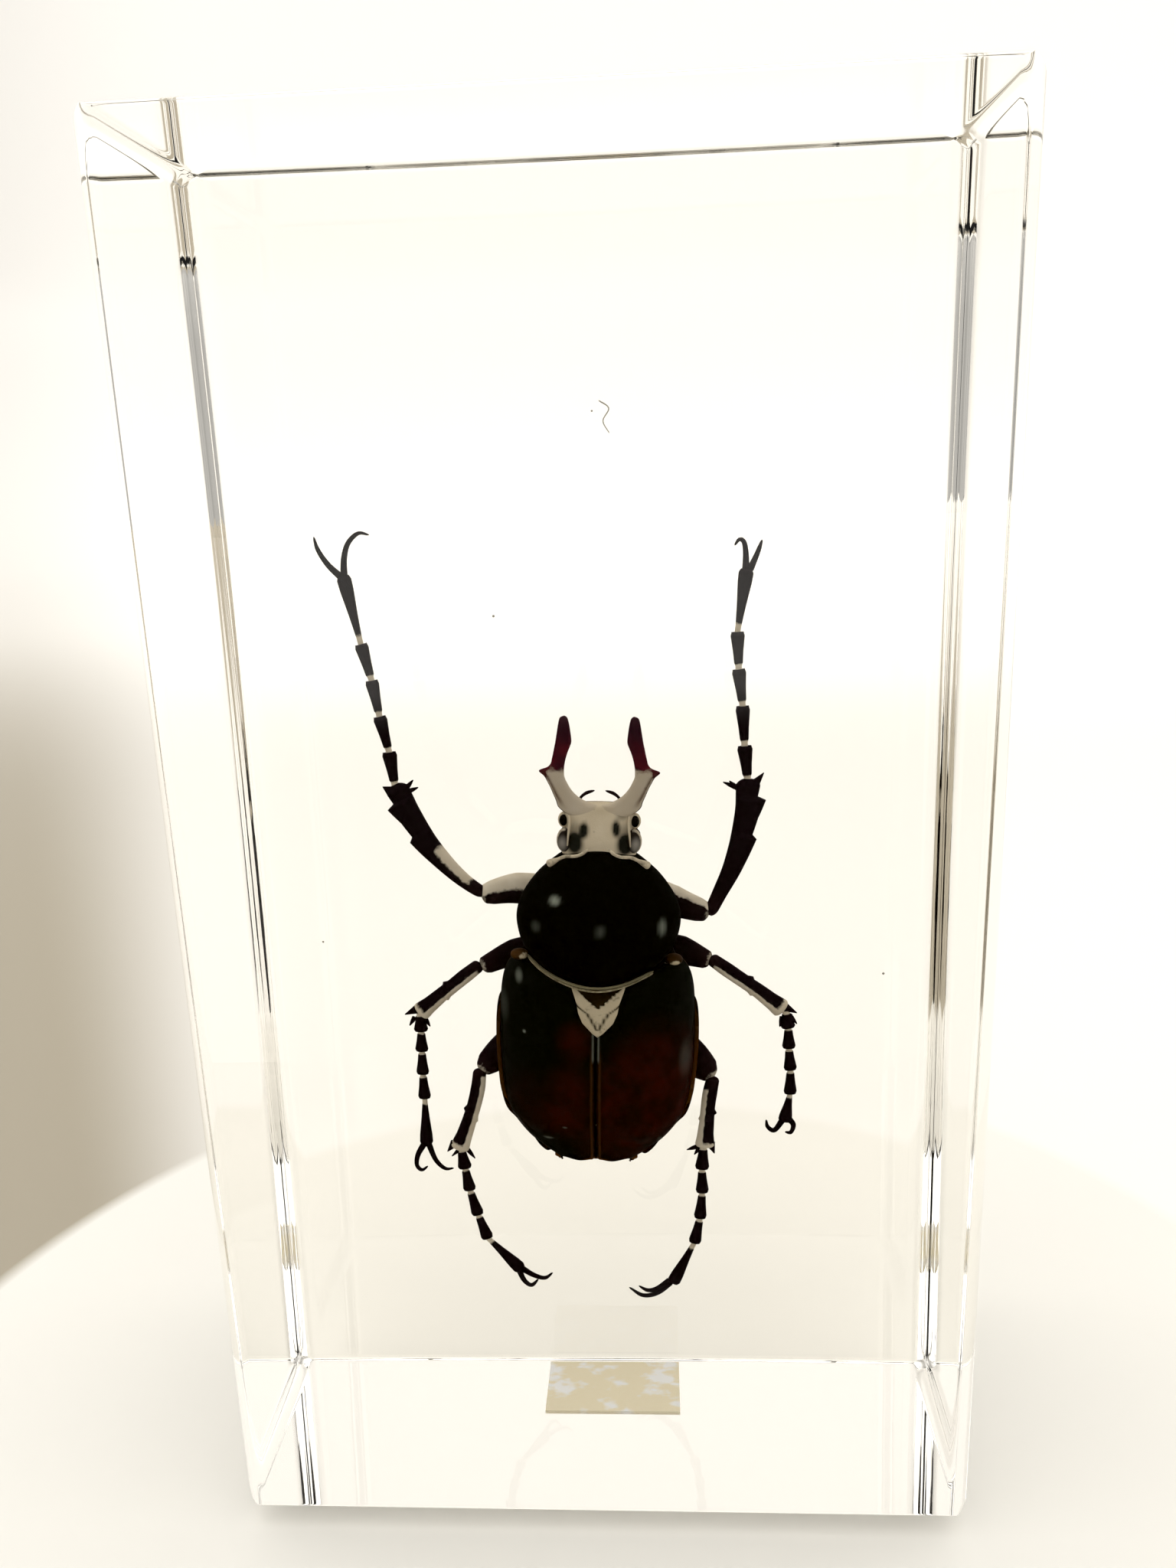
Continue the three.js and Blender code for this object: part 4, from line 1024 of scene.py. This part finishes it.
depths = {0.0, upright_edge_radius + flat_border, level_edge_radius + flat_border}
for radius in (upright_edge_radius, level_edge_radius):
    depths |= {radius * (1 - math.cos(t)) for t in np.linspace(0, math.pi / 2, arc_steps + 1)}
depths = sorted(depths)
insets = [(edge_inset(depth, upright_edge_radius), edge_inset(depth, level_edge_radius)) for depth in depths]
face_inset = (upright_edge_radius + flat_border, level_edge_radius + flat_border)
front_rings = [np.insert(block_outline(*inset), 1, block_low[1] + depth, axis=1)
               for inset, depth in zip([face_inset, *insets], [0.0, *depths])]
back_rings = [ring * (1, -1, 1) for ring in front_rings[::-1]]
rings = np.array(front_rings + back_rings)
faces, number = faces_between(rings)
faces += [number[0][::-1], number[-1]]

# Cast polyester resin, machined and polished: water clear, a trace of straw yellow, with very
# faint ripples of the polish. The eye gets sharp inner edges and creamy sides.
clear_resin, tree = blank_material("polished_casting_resin")
place = add_node(tree, "ShaderNodeTexCoord").outputs["Object"]
ripples = add_node(tree, "ShaderNodeTexNoise", {
    "Vector": place, "Scale": per_millimetre(9.0), "Detail": 1.0, "Roughness": 0.4})
polish = add_node(tree, "ShaderNodeBump", {
    "Height": ripples.outputs["Fac"], "Strength": 0.15, "Distance": 0.05 * millimetre})
shader = add_node(tree, "ShaderNodeBsdfPrincipled", {
    "Base Color": colour("#fffefb"), "Roughness": 0.0, "IOR": 1.5, "Transmission Weight": 1.0,
    "Normal": polish.outputs["Normal"]})
straw = add_node(tree, "ShaderNodeVolumeAbsorption", {"Color": colour("#f3e8cc"), "Density": 2.5})
add_node(tree, "ShaderNodeOutputMaterial", {
    "Surface": shader.outputs["BSDF"], "Volume": straw.outputs["Volume"]})

resin_block = make_piece("resin_block", rings.reshape(-1, 3), faces, clear_resin)
recess_low = [label_low[0] + label_wetting, label_low[1] + label_wetting, -recess_foot]
recess_high = [label_high[0] - label_wetting, label_high[1] - label_wetting, label_high[2] - label_wetting]
corners = [[(recess_low, recess_high)[pick >> axis & 1][axis] for axis in range(3)] for pick in range(8)]
recess = make_piece("recess", corners, [(0, 1, 3, 2), (4, 5, 7, 6), (0, 1, 5, 4), (2, 3, 7, 6), (0, 2, 6, 4),
                                        (1, 3, 7, 5)], clear_resin)
cut = resin_block.modifiers.new("recess", "BOOLEAN")
cut.operation = "DIFFERENCE"
cut.solver = "EXACT"
cut.object = recess
settle(resin_block)
bpy.data.objects.remove(recess)
resin_block.data.set_sharp_from_angle(angle=math.radians(50))
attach(resin_block, "root")
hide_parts("resin_front", "resin_back")

# A short curled fibre and a few specks of dust caught in the resin as it was poured, pale grey.
# Each is a thin rod or a small lump on its own, between the beetle and the top.
dust_depth = 0.0
fibre_path = [(1.45, dust_depth, 60.9), (1.95, dust_depth, 60.5), (1.65, dust_depth, 59.9),
              (1.95, dust_depth, 59.3)]
fibre_half_widths = [(0, 0.035), (1, 0.025)]
specks = [(-4.4, 50.3, 0.07), (-15.0, 32.3, 0.06), (16.3, 30.0, 0.07), (1.1, 60.4, 0.05)]  # x, z, radius

grey_dust = cuticle("grey_dust", dark="#b5b2a8", warm="#c4c0b6", powder="#d6d2c8")
rings, _, _ = blade_rings(fibre_path, fibre_half_widths, fibre_half_widths, (1, 0, 0), 1.0, rows=40,
                          columns=8)
caught = [skinned_piece("caught_fibre", rings, grey_dust)]
for number, (x, z, radius) in enumerate(specks):
    lump = lump_rings((x, dust_depth, z), (radius, radius, radius), rows=8, columns=10)
    caught.append(skinned_piece(f"caught_speck_{number}", lump, grey_dust))
for made in caught:
    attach(made, "root")

# The surroundings: a pale sheet that runs on as floor and wall in one sweep, and plain soft studio
# light that is brightest from above and behind. Shadow is painted on the sheet: grey at the far left, and a
# dark strip in front.
floor_drop = 0.02                   # keeps the floor just clear of the block's foot
sweep_profile = [(-1200, 0), (-300, 0), (250, 0), (400, 25), (480, 110), (500, 260), (500, 900)]
sweep_half_width = 1500
disc_middle = (0, -3, 0)            # the pale round area under the block, and its radius
disc_radius = 50
disc_softness = 1.5
painted_shade_fan_middle = (4, -67)          # the painted shadow, a grey area at the far left, widens away from this place
painted_shade_fan = (-0.33, -0.57)           # shares sideways between which the painted shadow turns the floor grey
painted_shade_far = (800, 30)                # and places in depth
painted_shadow_strip_middle = (2, 45)            # a painted shadow in front, a dark strip that the front face mirrors, widens too
painted_shadow_strip_fan = (0.38, 0.28)
painted_shadow_strip_near = (-24, -34)
painted_shadow_strip_far = (-280, -220)
wall_glow = {"from": 150, "to": 450, "strength": 0.35}
pale_floor = "#e2e0dc"              # matt paper
painted_shade_floor = "#9a9282"
disc_floor = "#dcdad4"
painted_shadow_strip_tone = "#4a4741"
sweep_line = smooth_curve(sweep_profile, np.linspace(0, 1, 90))
rows = [(-sweep_half_width, y, z - floor_drop) for y, z in sweep_line]
rows += [(sweep_half_width, y, z - floor_drop) for y, z in sweep_line]
count = len(sweep_line)
faces = [[i, i + 1, count + i + 1, count + i] for i in range(count - 1)]
pale_sheet, tree = blank_material("pale_sheet")
place = add_node(tree, "ShaderNodeTexCoord").outputs["Object"]
parts = add_node(tree, "ShaderNodeSeparateXYZ", {"Vector": place})


def sideways_share(middle):
    """How far to the side each place on the sheet lies, as a share of its distance from a middle."""
    across = add_node(tree, "ShaderNodeMath", {0: parts.outputs["X"], 1: middle[0] * millimetre},
                      operation="SUBTRACT")
    away = add_node(tree, "ShaderNodeMath", {0: parts.outputs["Y"], 1: middle[1] * millimetre},
                    operation="SUBTRACT")
    return add_node(tree, "ShaderNodeMath", {0: across.outputs[0], 1: away.outputs[0]}, operation="DIVIDE")


# Painted shadow: the floor turns grey towards the far left.
leftward_painted_shade = add_node(tree, "ShaderNodeMapRange", {
    "Value": sideways_share(painted_shade_fan_middle).outputs[0], "From Min": painted_shade_fan[0], "From Max": painted_shade_fan[1]},
    interpolation_type="SMOOTHSTEP")
nearer_painted_shade = add_node(tree, "ShaderNodeMapRange", {
    "Value": parts.outputs["Y"], "From Min": painted_shade_far[0] * millimetre,
    "From Max": painted_shade_far[1] * millimetre}, interpolation_type="SMOOTHSTEP")
painted_shade = add_node(tree, "ShaderNodeMath", {0: leftward_painted_shade.outputs["Result"], 1: nearer_painted_shade.outputs["Result"]},
                  operation="MULTIPLY")
floor_with_painted_shade = add_node(tree, "ShaderNodeMix", {
    "Factor": painted_shade.outputs[0], "A": colour(pale_floor), "B": colour(painted_shade_floor)}, data_type="RGBA")
# Painted shadow: a dark strip on the floor in front, which the block's front face mirrors.
in_front, not_far = (
    add_node(tree, "ShaderNodeMapRange", {
        "Value": parts.outputs["Y"], "From Min": outside * millimetre, "From Max": inside * millimetre},
        interpolation_type="SMOOTHSTEP")
    for outside, inside in (painted_shadow_strip_near, painted_shadow_strip_far))
lengthwise = add_node(tree, "ShaderNodeMath", {
    0: in_front.outputs["Result"], 1: not_far.outputs["Result"]}, operation="MULTIPLY")
aside = add_node(tree, "ShaderNodeMath", {0: sideways_share(painted_shadow_strip_middle).outputs[0]},
                 operation="ABSOLUTE")
on_painted_shadow_strip = add_node(tree, "ShaderNodeMapRange", {
    "Value": aside.outputs[0], "From Min": painted_shadow_strip_fan[0], "From Max": painted_shadow_strip_fan[1]},
    interpolation_type="SMOOTHSTEP")
painted_shadow_strip = add_node(tree, "ShaderNodeMath", {0: lengthwise.outputs[0], 1: on_painted_shadow_strip.outputs["Result"]},
               operation="MULTIPLY")
far_wall = add_node(tree, "ShaderNodeMapRange", {
    "Value": parts.outputs["Y"], "From Min": wall_glow["from"] * millimetre,
    "From Max": wall_glow["to"] * millimetre, "To Max": wall_glow["strength"]},
    interpolation_type="SMOOTHSTEP")
from_middle = add_node(tree, "ShaderNodeVectorMath", {
    0: place, 1: [c * millimetre for c in disc_middle]}, operation="DISTANCE")
on_disc = add_node(tree, "ShaderNodeMapRange", {
    "Value": from_middle.outputs["Value"], "From Min": disc_radius * millimetre,
    "From Max": (disc_radius - disc_softness) * millimetre})
floor_tone = add_node(tree, "ShaderNodeMix", {
    "Factor": on_disc.outputs["Result"], "A": floor_with_painted_shade.outputs["Result"], "B": colour(disc_floor)},
    data_type="RGBA")
tone = add_node(tree, "ShaderNodeMix", {
    "Factor": painted_shadow_strip.outputs[0], "A": floor_tone.outputs["Result"], "B": colour(painted_shadow_strip_tone)},
    data_type="RGBA")
shader = add_node(tree, "ShaderNodeBsdfPrincipled", {
    "Base Color": tone.outputs["Result"], "Roughness": 0.9, "Emission Color": colour("#fffefc"),
    "Emission Strength": far_wall.outputs["Result"]})
add_node(tree, "ShaderNodeOutputMaterial", {"Surface": shader.outputs["BSDF"]})
pale_sheet.cycles.emission_sampling = "NONE"    # its glow is broad and faint, and needs no aimed rays
sweep = make_piece("pale_sweep", rows, faces, pale_sheet)

light_above = 2.25
light_level = 0.66
light_in_front = 0.55               # share of the light that is left in front of the block
deepest_black = 0.006               # a phone's picture shows anything darker as black
studio = bpy.data.worlds.new("studio")
studio.use_nodes = True
tree = studio.node_tree
tree.nodes.clear()
way = add_node(tree, "ShaderNodeTexCoord").outputs["Generated"]
parts = add_node(tree, "ShaderNodeSeparateXYZ", {"Vector": way})
upwards = add_node(tree, "ShaderNodeMapRange", {
    "Value": parts.outputs["Z"], "From Min": 0.1, "From Max": 0.6,
    "To Min": light_level, "To Max": light_above})
forwards = add_node(tree, "ShaderNodeMapRange", {
    "Value": parts.outputs["Y"], "From Min": -0.8, "From Max": 0.2, "To Min": light_in_front})
strength = add_node(tree, "ShaderNodeMath", {0: upwards.outputs["Result"], 1: forwards.outputs["Result"]},
                    operation="MULTIPLY")
glow = add_node(tree, "ShaderNodeBackground", {
    "Color": colour("#fffdf9"), "Strength": strength.outputs[0]})
add_node(tree, "ShaderNodeOutputWorld", {"Surface": glow.outputs["Background"]})
bpy.context.scene.world = studio
view = bpy.context.scene.view_settings
view.view_transform = "Standard"
view.use_curve_mapping = True
view.curve_mapping.black_level = (deepest_black,) * 3
view.curve_mapping.update()

# The camera, at the photograph's viewing angle: held a hand's breadth in front of the block and
# a little above it. Its place and turn fit the block's corners.
photo_long_side = 2048              # pixels
focal_length = 1573                 # pixels
sensor_long_side = 36
camera_place = (4.09, -66.69, 57.72)
camera_turn = (75.227, 1.951, 2.97)    # degrees about X, Y and Z
lens = bpy.data.cameras.new("camera")
lens.sensor_width = sensor_long_side
lens.lens = sensor_long_side * focal_length / photo_long_side
lens.clip_start = 5 * millimetre
lens.clip_end = 10
camera = new_object("camera", lens)
camera.location = [c * millimetre for c in camera_place]
camera.rotation_euler = [math.radians(t) for t in camera_turn]
bpy.context.scene.camera = camera
